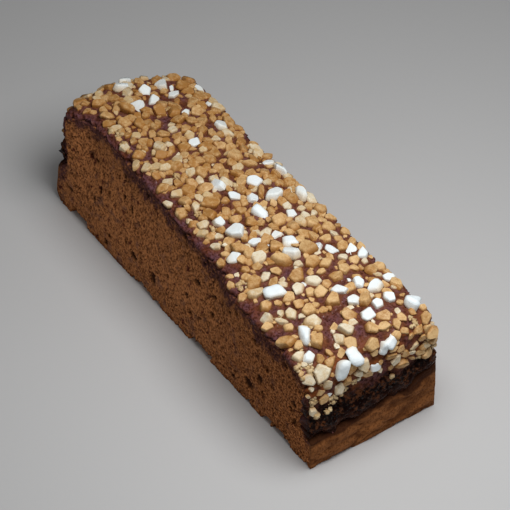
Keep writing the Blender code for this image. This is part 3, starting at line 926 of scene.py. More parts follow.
# the nibs that stand out in the photograph: across, down, length in the picture, direction in degrees and,
# for a slender or a broad one, its width as a share of its length
marks = {
    "white": (
        (119, 86, 17, 10, 0.45), (143, 88, 13, 10), (159, 83, 14, 10), (151, 97, 12, 15), (136, 104, 16, -5),
        (172, 91, 11, 0), (198, 86, 12, -40, 0.5), (184, 109, 9, 60), (193, 141, 13, 60), (219, 123, 14, -20),
        (217, 184, 16, -30), (254, 180, 16, 20), (267, 162, 13, 0, 0.6), (282, 169, 19, -40, 0.5),
        (235, 195, 13, -30), (252, 196, 13, -20), (274, 195, 18, 5, 0.7), (300, 195, 18, -50, 0.45),
        (292, 213, 12, -60), (219, 221, 14, 60), (236, 232, 20, 60), (278, 234, 11, 0), (290, 242, 17, -20),
        (256, 242, 14, 10, 0.6), (292, 255, 18, -15, 0.45), (234, 258, 14, 10), (332, 249, 14, -20, 0.5),
        (353, 250, 12, 60), (363, 255, 17, 70, 0.6), (341, 291, 18, -5, 0.5), (360, 283, 13, -20),
        (390, 278, 14, 30), (377, 287, 16, 40, 0.7), (380, 303, 14, 80), (391, 298, 13, -15),
        (356, 301, 15, 20), (369, 316, 15, 10), (310, 357, 12, 60), (377, 367, 12, 0), (318, 246, 11, 0),
    ),
    "rod": (
        (276, 293, 20, 20, 0.78), (259, 212, 18, -25), (413, 305, 18, 60, 0.8), (306, 336, 20, 85),
        (386, 348, 14, 75, 0.66), (392, 341, 15, 50, 0.74), (355, 355, 19, -60, 0.64),
        (342, 369, 21, 78, 0.56),
    ),
    "cream": (
        (114, 125, 11, 40), (171, 127, 10, 0), (189, 171, 13, 45), (237, 166, 13, 10), (267, 181, 10, 0),
        (288, 205, 10, 0), (301, 207, 9, 0), (302, 221, 13, -30), (204, 224, 13, 60), (266, 232, 13, 0),
        (260, 259, 16, 40), (299, 263, 10, 0), (266, 277, 12, 80), (284, 284, 11, -30), (300, 289, 13, 45),
        (315, 281, 15, 20), (292, 314, 14, -50), (282, 313, 9, -45), (315, 322, 17, 30), (345, 256, 10, 0),
        (124, 145, 10, 60), (348, 330, 16, 10), (340, 339, 13, -20), (300, 357, 13, 70), (323, 373, 19, 30),
        (365, 364, 14, -60), (397, 358, 13, 60), (310, 380, 13, 0), (329, 384, 12, 0), (341, 388, 13, 60),
        (257, 294, 17, 10, 0.6), (268, 319, 15, 60, 0.95), (283, 322, 13, -10, 0.5), (135, 133, 11, 0),
        (167, 181, 12, 20), (177, 192, 14, 20, 0.7), (135, 162, 12, 70, 0.6), (125, 145, 8, 60),
        (156, 164, 14, 0),
    ),
    "caramel": (
        (310, 310, 15, 30), (301, 304, 13, 40), (290, 298, 13, 60), (334, 301, 17, 50), (351, 315, 16, 0),
        (367, 300, 19, 70, 0.6), (385, 316, 15, 20), (373, 328, 12, 0), (319, 340, 18, 80, 0.7),
        (289, 342, 18, 0, 0.7), (374, 344, 15, 30), (282, 261, 21, -5, 0.5), (240, 248, 18, 15, 0.65),
        (249, 254, 15, 60, 0.7), (262, 249, 14, 0), (276, 246, 15, 80), (255, 283, 17, 15),
        (274, 282, 13, 60, 0.7), (277, 271, 11, 0), (298, 276, 15, 50), (267, 306, 13, 40), (279, 303, 10, 0),
        (244, 297, 11, 60), (246, 269, 10, 0), (257, 267, 12, 0, 0.7), (223, 174, 14, -30),
        (212, 202, 19, 0, 0.7), (204, 203, 12, 30), (226, 211, 12, 70), (236, 219, 14, 30, 0.75),
        (251, 221, 16, -40, 0.75), (280, 220, 17, 25, 0.7), (264, 203, 9, 60), (261, 191, 15, 75, 0.5),
        (250, 171, 12, 30), (264, 171, 13, -60), (250, 162, 15, 5, 0.6), (244, 201, 11, 60),
        (241, 209, 12, 0), (263, 249, 13, 10), (212, 235, 11, 30), (221, 229, 13, 60), (293, 225, 14, -20),
        (313, 221, 17, 60), (304, 233, 14, 0), (309, 249, 17, 10), (296, 244, 10, 0), (313, 262, 16, 30),
        (326, 262, 14, 10), (337, 276, 15, 0), (328, 284, 12, 50), (346, 269, 14, 30), (322, 293, 13, 50),
        (352, 288, 14, 10), (317, 305, 9, 0), (372, 270, 15, 20), (385, 264, 14, 0), (105, 113, 15, 0, 0.7),
        (125, 108, 20, -20, 0.4), (123, 120, 15, 0, 0.75), (159, 109, 14, -45, 0.8),
        (174, 109, 18, 60, 0.75), (96, 102, 16, 20, 0.5), (84, 108, 10, 30, 0.6), (111, 97, 16, -10, 0.45),
        (135, 96, 13, 0), (146, 121, 12, -30), (138, 121, 14, 60), (126, 132, 10, 0), (156, 120, 12, 70, 0.6),
        (184, 126, 13, 20), (160, 153, 14, 10, 0.7), (171, 148, 12, 75, 0.6), (174, 165, 16, 0, 0.65),
        (156, 174, 10, 0), (177, 181, 12, 60), (191, 182, 13, 0), (138, 152, 13, 60), (199, 159, 14, 0),
        (207, 139, 12, 30), (214, 151, 13, 0), (229, 147, 12, 60), (237, 133, 13, 20), (186, 89, 14, 0),
        (190, 99, 13, 30), (214, 108, 12, 0), (200, 103, 12, -30), (190, 118, 13, 0), (201, 127, 12, 40),
    ),
    "bare": (        # glaze without nibs: across, down, radius in the picture
        (326, 321, 9), (325, 333, 5), (364, 327, 8), (389, 310, 4), (408, 291, 5), (328, 342, 4),
        (362, 342, 5), (405, 341, 4), (322, 352, 4), (385, 363, 6), (313, 393, 4), (231, 267, 8),
        (250, 308, 7), (257, 316, 6), (278, 330, 6), (272, 338, 8), (299, 323, 4), (286, 273, 4),
        (206, 179, 4), (224, 195, 5), (256, 166, 4), (276, 188, 4), (284, 188, 4), (256, 202, 4),
        (282, 211, 4), (227, 223, 4), (248, 230, 3), (281, 227, 2), (216, 212, 4), (97, 121, 9),
        (88, 118, 6), (80, 114, 6), (72, 110, 6), (70, 119, 5), (105, 132, 5), (122, 98, 3), (110, 105, 3),
        (148, 107, 4), (164, 99, 4), (173, 98, 4), (167, 120, 4), (163, 130, 4), (151, 149, 4),
        (176, 173, 4), (130, 127, 3), (194, 117, 5), (176, 147, 3), (138, 169, 6), (157, 182, 7),
        (171, 198, 7), (178, 206, 6), (190, 217, 5), (185, 229, 5), (216, 255, 6), (197, 241, 5),
        (236, 281, 4), (289, 357, 5),
    ),
    "crumbled": (    # fused sugar crumbs, given like the bare spots
        (342, 389, 6), (332, 399, 6), (313, 401, 5), (328, 409, 4), (316, 416, 3), (304, 379, 4),
        (427, 338, 5), (433, 345, 4), (418, 356, 3), (391, 376, 2), (241, 286, 6), (214, 229, 5),
        (198, 214, 4), (412, 322, 6), (354, 381, 3), (296, 369, 4),
    ),
    "width": {"white": 0.90, "rod": 0.58, "cream": 0.85, "caramel": 0.85},
    "growth": 1.06,                   # rounded corners make nibs look smaller than their length
    "height": 1.5 * mm,               # how high over the glaze a nib's middle is
    "room": 0.37,                     # radius that a nib takes, as a share of its length
    "roomNear": 0.35,                 # the same for one that has to make way
    "push": 2.0 * mm,                 # how far it goes in each round at most
    "rounds": 2,
    "touch": 0.1 * mm,                # what counts as no distance between a nib and a centre
    "least": 1.3 * mm,                # a nib with less room than this is left out
    "inside": 0.45,                   # share of its length that a nib stays off the cut sides
    "searchStep": 0.4 * mm,           # grid on the glaze, in which marks are looked for
    "searchEnds": (2.0 * mm, 25.0 * mm),
    "searchAcross": (-29.0 * mm, 28.5 * mm),
}


def bareBorder(distance, y):
    # how far from the two ends and the leaning side the nibs stay, and how far past the step this is
    end = nibs["bareEnd"] + nibs["bareEndMiddle"] * (1.0 - (y / bar["halfWidth"]) ** 2)
    past = rise(*nibs["stepShare"], distance / pathLength)
    return end, nibs["bareEdge"] + nibs["bareEdgeFar"] * past, past


def scatter(rng, count, placed, border=1.0, endBorder=1.0, spread=nibs["spread"]):
    # each nib at the emptiest of a few random spots, with the borders left bare
    for _ in range(count):
        y = rng.uniform(-bar["halfWidth"], bar["halfWidth"], nibs["tries"])
        end = bareBorder(0.0, y)[0] * endBorder
        distance = end + (pathLength - 2.0 * end) * rng.uniform(0.0, 1.0, nibs["tries"])
        _, bare, past = bareBorder(distance, y)
        y = np.clip(y, bare * border - bar["halfWidth"], bar["halfWidth"] - nibs["uprightEdge"] * border)
        trial = np.stack([distance, y], axis=1)
        if len(placed):
            space = np.linalg.norm(trial[:, None] - placed[None], axis=2).min(axis=1)
            trial = trial[np.argmax(space / (1.0 + spread * (1.0 - past)))][None]
        placed = np.concatenate([placed, trial[:1]])
    return placed


def placeNibs():
    # large nibs as in the solids, then medium and small ones in the gaps between them
    rng = np.random.default_rng(nibs["seed"])
    sizes = np.sort(rng.uniform(*nibs["length"], nibs["count"]))[::-1]
    spots = scatter(rng, nibs["count"], np.zeros((0, 2)))
    draws = rng.random((nibs["count"], nibs["draws"]))
    turn = draws[:, 0] * 2.0 * math.pi
    wide = nibs["slender"][0] + np.ptp(nibs["slender"]) * draws[:, 1]
    high = nibs["flat"][0] + np.ptp(nibs["flat"]) * draws[:, 2]
    more = np.random.default_rng(nibs["seed"] + 1)
    for step in ("medium", "small"):
        count = nibs[step + "Count"]
        spots = scatter(more, count, spots, nibs[step + "Border"], nibs[step + "End"], nibs[step + "Spread"])
        sizes = np.concatenate([sizes, np.sort(more.uniform(*nibs[step + "Length"], count))[::-1]])
        turn = np.concatenate([turn, more.uniform(0.0, 2.0 * math.pi, count)])
        wide = np.concatenate([wide, more.uniform(*nibs["restSlender"], count)])
        high = np.concatenate([high, more.uniform(*nibs["restFlat"], count)])
    lot = more.random(len(sizes))
    kind = np.where(lot < nibs["whiteShare"], "white",
                    np.where(lot < nibs["whiteShare"] + nibs["creamShare"], "cream", "caramel"))
    nib = {"spot": spots, "size": sizes, "turn": turn, "wide": wide, "high": high, "kind": kind}
    moveToMarks(nib)
    return makeRoom(nib)


def spotsAt(places, height=0.0):
    # the spots of the glaze, as distance and y, that the camera sees at places of the picture
    start, short = marks["searchEnds"]
    distance = np.arange(start, pathLength - short, marks["searchStep"])[:, None]
    y = np.arange(*marks["searchAcross"], marks["searchStep"])[None]
    seen = seenAt(skinPoint(distance, y, coatTop + height), places)
    row, column = np.unravel_index(seen, (distance.size, y.size))
    return np.stack([distance[row, 0], y[0, column]], axis=1)


def reachOf(places):
    # radius on the bar, from the one in the picture
    return [pixel * place[2] for place in places]


def moveToMarks(nib):
    # the nearest free nib goes to each mark, along the direction that the mark has in the picture
    free = nib["size"] > nibs["mediumLength"][0]
    nib["marked"] = np.zeros(len(free), bool)
    _, right, up, back, _ = cameraFrame()
    for kind in ("rod", "white", "cream", "caramel"):
        for spot, mark in zip(spotsAt(marks[kind], marks["height"]), marks[kind]):
            _, _, length, direction, *width = mark
            away = np.linalg.norm(nib["spot"] - spot, axis=1)
            chosen = np.argmin(np.where(free, away, pathLength))
            free[chosen] = False
            # the direction is laid down on the glaze and then seen from straight above
            slant = math.radians(direction)
            normal = Vector(skinNormal(*spot))
            lying = right * math.cos(slant) + up * math.sin(slant)
            lying -= back * (lying.dot(normal) / back.dot(normal))
            lying -= normal * (lying.z / normal.z)
            nib["marked"][chosen] = True
            nib["spot"][chosen] = spot
            nib["size"][chosen] = length * pixel * marks["growth"]
            nib["turn"][chosen] = math.atan2(lying.y, lying.x)
            nib["wide"][chosen] = width[0] if width else marks["width"][kind]
            nib["kind"][chosen] = kind


def makeRoom(nib):
    # the other nibs keep to the room between marks, bare spots and clusters: one that is too close is pushed
    # away from the centre next to it, and shrinks to the room that it finds
    marked, size = nib["marked"], nib["size"]
    others = marks["bare"] + marks["crumbled"]
    centre = np.concatenate([nib["spot"][marked], spotsAt(others)])
    taken = (0.5 + 0.5 * nib["wide"][marked]) * size[marked] * marks["room"]
    radius = np.concatenate([taken, reachOf(others)])
    for _ in range(marks["rounds"]):
        push = nib["spot"][:, None] - centre[None]
        away = np.linalg.norm(push, axis=2)
        lack = radius + marks["roomNear"] * size[:, None] - away
        nearest = np.argmax(lack, axis=1)
        rows = np.arange(len(nearest))
        step = push[rows, nearest] / np.maximum(away[rows, nearest], marks["touch"])[:, None]
        moved = nib["spot"] + step * np.clip(lack[rows, nearest], 0.0, marks["push"])[:, None]
        nib["spot"] = np.where(marked[:, None], nib["spot"], moved)
    away = np.linalg.norm(nib["spot"][:, None] - centre[None], axis=2)
    room = (away - radius).min(axis=1) / marks["room"]
    nib["size"] = np.where(marked, size, np.minimum(size, room))
    limit = bar["halfWidth"] - marks["inside"] * nib["size"]
    nib["spot"][:, 1] = np.clip(nib["spot"][:, 1], -limit, limit)
    left = nib["size"] > marks["least"]
    return {key: array[left] for key, array in nib.items()}


# the glaze: a dark sheet over the top and the ends, with syrup on the ledges
glaze = {
    "linesAlong": 471,
    "linesAcross": 121,
    "innerStep": 4,                 # the inner sheet keeps one line in four across
    "edgeRound": 2.6 * mm,
    "edgeThin": 0.5,                # share of the coat that is left at the cut sides
    "endThin": 0.35,                # and at the two ends
    "endFoot": 3.0 * mm,
    "runs": (6.5, 1.0, 86, 3, 4.0),         # these are patterns, as layered takes them
    "runRange": (-0.8, 0.8),
    "runFade": 8 * mm,
    "ragged": (3.6, 1.0, 98, 4, 9.0),
    "retreat": 2.2 * mm,            # how far its ragged border draws back from the cut sides
    "retreatWhere": (-0.1, 1.0),
    "retreatBand": 4 * mm,
    "lip": 2.4 * mm,                # and how far it hangs down them
    "lipWhere": (0.0, -0.9),
    "spill": 4.5 * mm,              # the same for the syrup at the ends
    "lipLines": 6,
    "lipOut": 0.02 * mm,
    "lipGrain": (1.4, 1.4, 99, 2, 9.0),
    "tuck": 0.45 * mm,              # its lowest line goes this far into the crumb
    "wrinkle": 0.22 * mm,
    "wrinkles": (3.0, 3.0, 92, 2, 0.0),
    "grain": 0.34 * mm,
    "grains": (1.5, 1.5, 93, 2, 0.0),
    "blister": 0.25 * mm,
    "blisters": (2.0 * mm, 0.5, (0.15, 0.42), 95),    # these are as pits takes them
    "dimple": 0.45 * mm,
    "dimples": (1.7 * mm, 0.6, (0.2, 0.5), 94),
    "reliefLeast": 0.25,            # share of the relief that is left at the two ends
    "syrupReach": (20 * mm, 12 * mm),
    "syrupWaver": 4.0 * mm,
    "syrupEdge": (6.0, 20.0, 91, 3, 0.0),
    "syrupBubble": 0.55 * mm,
    "bubbles": (1.4 * mm, 0.8, (0.3, 0.55), 96),
    "burst": 0.9,                   # depth of burst bubbles as a share
    "bursts": (2.1 * mm, 0.6, (0.2, 0.5), 97),
    "bubbleLeast": 0.3,
    "bubbleEnd": (3 * mm, 8 * mm),
    "meniscus": 0.55 * mm,          # how far the glaze climbs at a nib
    "swellReach": 2.0 * mm,         # round a nib
    "swellFoot": 0.38,              # radius of its foot, as a share of its size
    "swellFade": 1.0 * mm,
    "swellFull": 5.0 * mm,          # nibs smaller than this make it climb less
    "brown": (0.148, 0.044, 0.023, 1.0),
    # painted sheen: mauve clouds that stand for the shine of the glaze
    "paintedSheen": (0.155, 0.067, 0.080, 1.0),
    "paintedSheenWhere": (0.4, 0.62),
    # painted shade in the hollows and dimples of the glaze
    "hollowShade": (0.052, 0.012, 0.006, 1.0),
    "hollowShadeWhere": (0.52, 0.36),
    "hollowShadeShare": 0.7,
    "toffee": (0.240, 0.088, 0.030, 1.0),
    "toffeeShare": 0.45,
    "amber": (0.270, 0.078, 0.018, 1.0),
    "amberShare": 0.8,
    "amberWhere": (-0.1, 0.6),
    "amberReach": (42 * mm, 26 * mm),
    "ambers": (4.0, 4.0, 101, 2, 0.0),
    "syrup": (0.0070, 0.0016, 0.0010, 1.0),
    "syrupBrown": (0.120, 0.040, 0.015, 1.0),
    "syrupWhere": (0.50, 0.60),
    "thin": (0.034, 0.010, 0.006, 1.0),
    "thinShare": 0.7,
    "thinReach": (8 * mm, 2 * mm),
    "thinWaver": 1.5 * mm,
    "thinEdge": (4.0, 4.0, 103, 2, 0.0),
    "clouds": (240.0, 4.0, 0.6),    # scale, detail and roughness of each noise
    "fine": (1100.0, 3.0, 0.6),
    "clots": (620.0, 3.0, 0.65),
    "relief": 0.7 * mm,
    "surface": {"Roughness": 0.4, "Specular IOR Level": 0.05, "Coat Roughness": 0.18},
    "roughWhere": (-0.3, 1.1),
    "syrupSmooth": 0.3,
    "gleamWhere": (0.61, 0.66),
    "gleam": 0.60,
}


def nibSwell(distance, y, nib):
    # how close each point is to a nib's foot: 1 under it, and outwards exp(-(distance / fade) ^ 2)
    stepD, stepY = np.diff(distance[:2, 0])[0], np.diff(y[0, :2])[0]
    swell = np.zeros((distance.size, y.size))
    for (nibD, nibY), size in zip(nib["spot"], nib["size"]):
        reach = size * 0.5 + glaze["swellReach"]
        column = nibY + bar["halfWidth"]
        a = slice(max(int((nibD - reach) / stepD), 0), int((nibD + reach) / stepD) + 2)
        b = slice(max(int((column - reach) / stepY), 0), int((column + reach) / stepY) + 2)
        away = np.hypot(distance[a] - nibD, y[:, b] - nibY)
        away = np.maximum(away - glaze["swellFoot"] * size, 0.0)
        foot = np.exp(-(away / glaze["swellFade"]) ** 2) * min(size / glaze["swellFull"], 1.0)
        swell[a, b] = np.maximum(swell[a, b], foot)
    return swell


def glazeSheet(distance, y, end, foot, drawn):
    # the sheet and its normals, and where its lines went: both ends run down over the crust in uneven drips,
    # the borders draw back in places, and the coat thins to them by sqrt(1 - (1 - share) ^ 2)
    side = np.where(distance < pathLength / 2.0, 1.0, -1.0)
    run = np.interp(layered(glaze["runs"], y / mm, side), glaze["runRange"], (-path["drawn"], path["drip"]))
    place = distance - side * run * rise(glaze["runFade"], 0.0, end)
    inward = bar["halfWidth"] - np.abs(y)
    edge = np.clip(inward / glaze["edgeRound"], 0.0, 1.0)
    rounded = atLeast(glaze["edgeThin"], np.sqrt(1.0 - (1.0 - edge) ** 2))
    retreat = glaze["retreat"] * rise(*glaze["retreatWhere"], drawn)
    y = y - np.sign(y) * retreat * rise(glaze["retreatBand"], 0.0, inward)
    coat = bar["gap"] + bar["coat"] * rounded * atLeast(glaze["endThin"], foot)
    return skinPoint(place, y, coat), skinNormal(place, y), place, y


def glazeRelief(distance, y, end, syrup, swell):
    # wrinkles, grain and blisters, less dimples, the rise round every nib, and in the syrup bubbles, less
    # burst ones; the dimples also by themselves, for their painted shade
    d, w = distance / mm, y / mm
    wide, tall = np.broadcast_arrays(distance, y)
    dimple = pits(wide, tall, *glaze["dimples"])
    skin = glaze["wrinkle"] * layered(glaze["wrinkles"], d, w)
    skin = skin + glaze["grain"] * layered(glaze["grains"], d, w)
    skin = skin + glaze["blister"] * pits(wide, tall, *glaze["blisters"]) - glaze["dimple"] * dimple
    bubble = pits(wide, tall, *glaze["bubbles"]) - glaze["burst"] * pits(wide, tall, *glaze["bursts"])
    bubble = bubble * atLeast(glaze["bubbleLeast"], rise(*glaze["bubbleEnd"], end))
    return skin + glaze["syrupBubble"] * bubble * syrup + glaze["meniscus"] * swell, dimple


def makeGlaze(nib):
    # an outer sheet at a distance and a y each, with relief along its normal, over a plain inner one
    distance = np.linspace(0.0, pathLength, glaze["linesAlong"])[:, None]
    y = np.linspace(-bar["halfWidth"], bar["halfWidth"], glaze["linesAcross"])[None]
    d, w = distance / mm, y / mm
    end = np.minimum(distance, pathLength - distance)
    foot = rise(0.0, glaze["endFoot"], end)
    drawn = layered(glaze["ragged"], d, 0.0, np.sign(y))
    syrup = rise(*glaze["syrupReach"], end + glaze["syrupWaver"] * layered(glaze["syrupEdge"], w, d))
    swell = nibSwell(distance, y, nib)
    height, dimple = glazeRelief(distance, y, end, syrup, swell)
    outer, normal, place, y = glazeSheet(distance, y, end, foot, drawn)
    outer = outer + normal * (height * atLeast(glaze["reliefLeast"], foot))[..., None]
    outer = addLips(outer, normal, d, drawn, syrup, foot[:, 0])
    inner = skinPoint(place[:, ::glaze["innerStep"]], y[:, ::glaze["innerStep"]], bar["gap"], 0.0)
    quads, corners = closeSheets(outer.shape[1], *inner.shape[:2])
    points = np.concatenate([outer.reshape(-1, 3), inner.reshape(-1, 3)])
    # where the colours lie, the same down the lips as at the border, and none on the inner sheet
    amber = rise(*glaze["amberWhere"], layered(glaze["ambers"], d, w)) * rise(*glaze["amberReach"], distance)
    thin = rise(*glaze["thinReach"], end + glaze["thinWaver"] * layered(glaze["thinEdge"], w, d))
    masks = {"syrup": syrup, "amber": amber * (1.0 - syrup), "swell": swell, "hollowShade": dimple, "thin": thin}
    values = {}
    for key, mask in masks.items():
        mask = np.pad(mask, ((0, 0), (glaze["lipLines"],) * 2), mode="edge")
        values[key] = np.concatenate([mask.ravel(), np.zeros(inner[..., 0].size)])
    piece = makePiece("glazeSkin", points, quads, glazeMaterial(), values, corners)
    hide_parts("glaze")


def addLips(outer, normal, d, drawn, syrup, foot):
    # a few more lines on both sides, which turn down over the cut sides against the normal, in lobes, and
    # end a little inside the crumb: the way in goes with the fourth power of the way down
    part = np.linspace(0.0, 1.0, glaze["lipLines"] + 1)[None, 1:]
    strips = []
    for column, sign in ((0, -1.0), (-1, 1.0)):
        lobes = rise(*glaze["lipWhere"], drawn[:, column])
        hang = bar["coat"] * 0.5 + lobes * foot * glaze["lip"]
        hang = (hang + lobes * glaze["spill"] * syrup[:, column])[:, None] * part
        strip = outer[:, None, column] - normal[:, None, column] * hang[..., None]
        rough = glaze["grain"] * layered(glaze["lipGrain"], d, hang / mm, sign)
        strip[..., 1] += sign * (glaze["lipOut"] + rough - (glaze["tuck"] + glaze["lipOut"]) * part ** 4)
        strips.append(strip)
    return np.concatenate([strips[0][:, ::-1], outer, strips[1]], axis=1)


def closeSheets(count, rows, innerCount):
    # faces of a fine outer sheet over a coarser inner one, joined all round their borders
    ids = np.arange(rows * count).reshape(rows, count)
    back = rows * count + np.arange(rows * innerCount).reshape(rows, innerCount)
    quads = np.concatenate([gridQuads(ids)[:, ::-1], gridQuads(back),
                            gridQuads(np.stack([ids[:, 0], back[:, 0]], axis=1)),
                            gridQuads(np.stack([back[:, -1], ids[:, -1]], axis=1))])
    # at both ends each outer edge makes a triangle with the nearest inner point, and so does each inner edge
    nearest = (np.arange(count - 1) - glaze["lipLines"] + glaze["innerStep"] // 2) // glaze["innerStep"]
    nearest = np.clip(nearest, 0, innerCount - 1)
    change = np.flatnonzero(np.diff(nearest)) + 1
    corners = []
    for row, turn in ((0, -1), (-1, 1)):
        inner = back[row]
        fans = np.stack([ids[row, :-1], ids[row, 1:], inner[nearest]], axis=1)
        links = np.stack([ids[row, change], inner[nearest[change]], inner[nearest[change - 1]]], axis=1)
        corners.append(np.concatenate([fans, links])[:, ::turn])
    return quads, np.concatenate(corners)


def glazeMaterial():
    # clouds of painted sheen, painted shade in the hollows, toffee at the nibs, amber, syrup and thin parts
    # laid over brown, one after the other; a coat gleams where the fine noise is highest
    material, tree, shader, place = startMaterial("darkGlaze", glaze["surface"])
    cloud, fine, clots = [noise(tree, place, *glaze[key]) for key in ("clouds", "fine", "clots")]
    tone = layColours(tree, glaze["brown"], (
        (between(tree, cloud, *glaze["paintedSheenWhere"]), glaze["paintedSheen"]),
        (between(tree, fine, *glaze["hollowShadeWhere"]), glaze["hollowShade"]),
        (portion(tree, kept(tree, "hollowShade"), glaze["hollowShadeShare"]), glaze["hollowShade"]),
        (portion(tree, kept(tree, "swell"), glaze["toffeeShare"]), glaze["toffee"]),
        (portion(tree, kept(tree, "amber"), glaze["amberShare"]), glaze["amber"])))
    lumpy = weighed(tree, (cloud, 0.5), (clots, 0.5))
    dark = blendColour(tree, between(tree, lumpy, *glaze["syrupWhere"]), glaze["syrup"], glaze["syrupBrown"])
    tone = layColours(tree, tone, (
        (kept(tree, "syrup"), dark),
        (portion(tree, kept(tree, "thin"), glaze["thinShare"]), glaze["thin"])))
    smooth = portion(tree, kept(tree, "syrup"), glaze["syrupSmooth"])
    rough = calc(tree, "SUBTRACT", between(tree, fine, *glaze["roughWhere"]), smooth)
    finishMaterial(tree, shader, tone, weighed(tree, (cloud, 0.5), (fine, 0.5)), glaze["relief"], rough)
    gleam = portion(tree, between(tree, fine, *glaze["gleamWhere"]), glaze["gleam"])
    tree.links.new(gleam, shader.inputs["Coat Weight"])
    return material


# the sugar nibs as meshes, one piece for each kind
lump = {        # of the rods
    "rings": 9,
    "sides": 14,
    "sharpness": 6.0,      # of the edges
    "cuts": 2,
    "upright": 0.6,        # how far the cuts may face up or down
    "skew": 0.16,
    "boxOffset": (0.80, 1.0),
    "cutOffset": (0.62, 1.0),
    "radius": (0.4, 1.5),
    "waist": (0.05, 0.36),
    "waistAt": (-0.25, 0.25),
    "waistWidth": 0.34,
}
stone = {
    "corners": 5,
    "turn": 0.55,                          # how far a corner wanders, as a share of their distance
    "reach": (0.62, 1.10),
    "bevel": (0.06, 0.21),                 # share of a side that the bevel of its corner takes
    "levels": (0.50, 0.24, -0.15, -0.50),  # heights of its rings, and how wide they are
    "width": (0.70, 0.96, 1.0, 0.80),
    "uneven": 0.07,
    "upper": (-0.2, 0.5),                  # levels over which the slope and the shift set in
    "slope": 0.15,
    "shift": 0.12,
}
laying = {
    "seed": 301,
    "tilt": math.radians(9.0),
    "filmLean": 0.4,                       # how aslant the film of glaze comes up a nib
    "film": (0.48, -0.32),                 # from its upper border to where it is full, in heights of a nib
    "toneSpread": 0.65,
    "toneFar": 0.40,                       # deeper at the far end
    "toneAlong": (75 * mm, -55 * mm),
}


def stoneShapes(rng, count):
    # an uneven polygon, its corners bevelled, at four heights, with a sloping top that is shifted sideways
    sides = stone["corners"]
    wander = rng.uniform(-0.5, 0.5, (count, sides)) * stone["turn"]
    angle = (np.arange(sides) + wander) / sides * 2.0 * math.pi
    angle += rng.uniform(0.0, 2.0 * math.pi, (count, 1))
    reach = rng.uniform(*stone["reach"], (count, sides))
    corner = np.stack([reach * np.cos(angle), reach * np.sin(angle)], axis=-1)
    bevel = rng.uniform(*stone["bevel"], (2, count, sides, 1))
    before = corner + bevel[0] * (np.roll(corner, 1, axis=1) - corner)
    after = corner + bevel[1] * (np.roll(corner, -1, axis=1) - corner)
    ring = np.stack([before, after], axis=2).reshape(count, 1, 2 * sides, 2)
    level = np.array(stone["levels"])[None, :, None] + 0.0 * ring[..., 0]
    upper = rise(*stone["upper"], level)[..., None]
    uneven = rng.normal(0.0, stone["uneven"], (count, len(stone["levels"]), 1, 1))
    width = np.array(stone["width"])[:, None, None] + uneven
    flat = ring * width + upper * rng.normal(0.0, stone["shift"], (count, 1, 1, 2))
    slope = rng.normal(0.0, stone["slope"], (count, 1, 1, 2))
    level = level + (flat * slope).sum(axis=-1) * upper[..., 0]
    shape = np.concatenate([flat, level[..., None]], axis=-1)
    top, bottom = shape[:, :1].mean(axis=2), shape[:, -1:].mean(axis=2)
    _, quads, corners = lumpSphere(len(stone["levels"]), 2 * sides)
    return np.concatenate([top, shape.reshape(count, -1, 3), bottom], axis=1), quads, corners


def lumpSphere(rings, sides):
    # directions on rings between two poles, and the faces that join them
    polar = (np.arange(rings) + 0.75) / (rings + 0.5) * math.pi
    turn = np.arange(sides) / sides * 2.0 * math.pi
    ring = np.stack([np.sin(polar)[:, None] * np.cos(turn), np.sin(polar)[:, None] * np.sin(turn),
                     np.cos(polar)[:, None] + 0.0 * turn], axis=-1).reshape(-1, 3)
    way = np.concatenate([[[0.0, 0.0, 1.0]], ring, [[0.0, 0.0, -1.0]]])
    ids = 1 + np.arange(rings * sides).reshape(rings, sides)
    ids = np.concatenate([ids, ids[:, :1]], axis=1)
    first = np.stack([0 * ids[0, :-1], ids[0, :-1], ids[0, 1:]], axis=1)
    final = np.stack([ids[-1, 1:], ids[-1, :-1], 0 * ids[0, :-1] + len(way) - 1], axis=1)
    return way, gridQuads(ids), np.concatenate([first, final])


def lumpShapes(rng, count):
    # a skewed box with random cuts; along a way w its radius is a soft minimum over all the planes:
    # (the sum of (w . facing / offset) ^ sharpness) ^ (-1 / sharpness)
    way, quads, corners = lumpSphere(lump["rings"], lump["sides"])
    box = np.concatenate([np.eye(3), -np.eye(3)]) + rng.normal(0.0, lump["skew"], (count, 6, 3))
    cuts = rng.normal(size=(count, lump["cuts"], 3)) * (1.0, 1.0, lump["upright"])
    facing = np.concatenate([box, cuts], axis=1)
    facing /= np.linalg.norm(facing, axis=2, keepdims=True)
    offset = np.concatenate([rng.uniform(*lump["boxOffset"], (count, 6)),
                             rng.uniform(*lump["cutOffset"], (count, lump["cuts"]))], axis=1)
    lean = np.clip(np.einsum("pk,nmk->npm", way, facing), 0.0, None) / offset[:, None]
    radius = np.clip((lean ** lump["sharpness"]).sum(axis=2), 0.02, None) ** (-1.0 / lump["sharpness"])
    shape = way[None] * np.clip(radius, *lump["radius"])[..., None]
    # a waist somewhere along it: 1 - depth . exp(-((x - middle) / width) ^ 2)
    middle, depth = rng.uniform(*lump["waistAt"], (count, 1)), rng.uniform(*lump["waist"], (count, 1))
    thin = 1.0 - depth * np.exp(-((shape[..., 0] - middle) / lump["waistWidth"]) ** 2)
    shape[..., 1:] *= thin[..., None]
    return shape, quads, corners


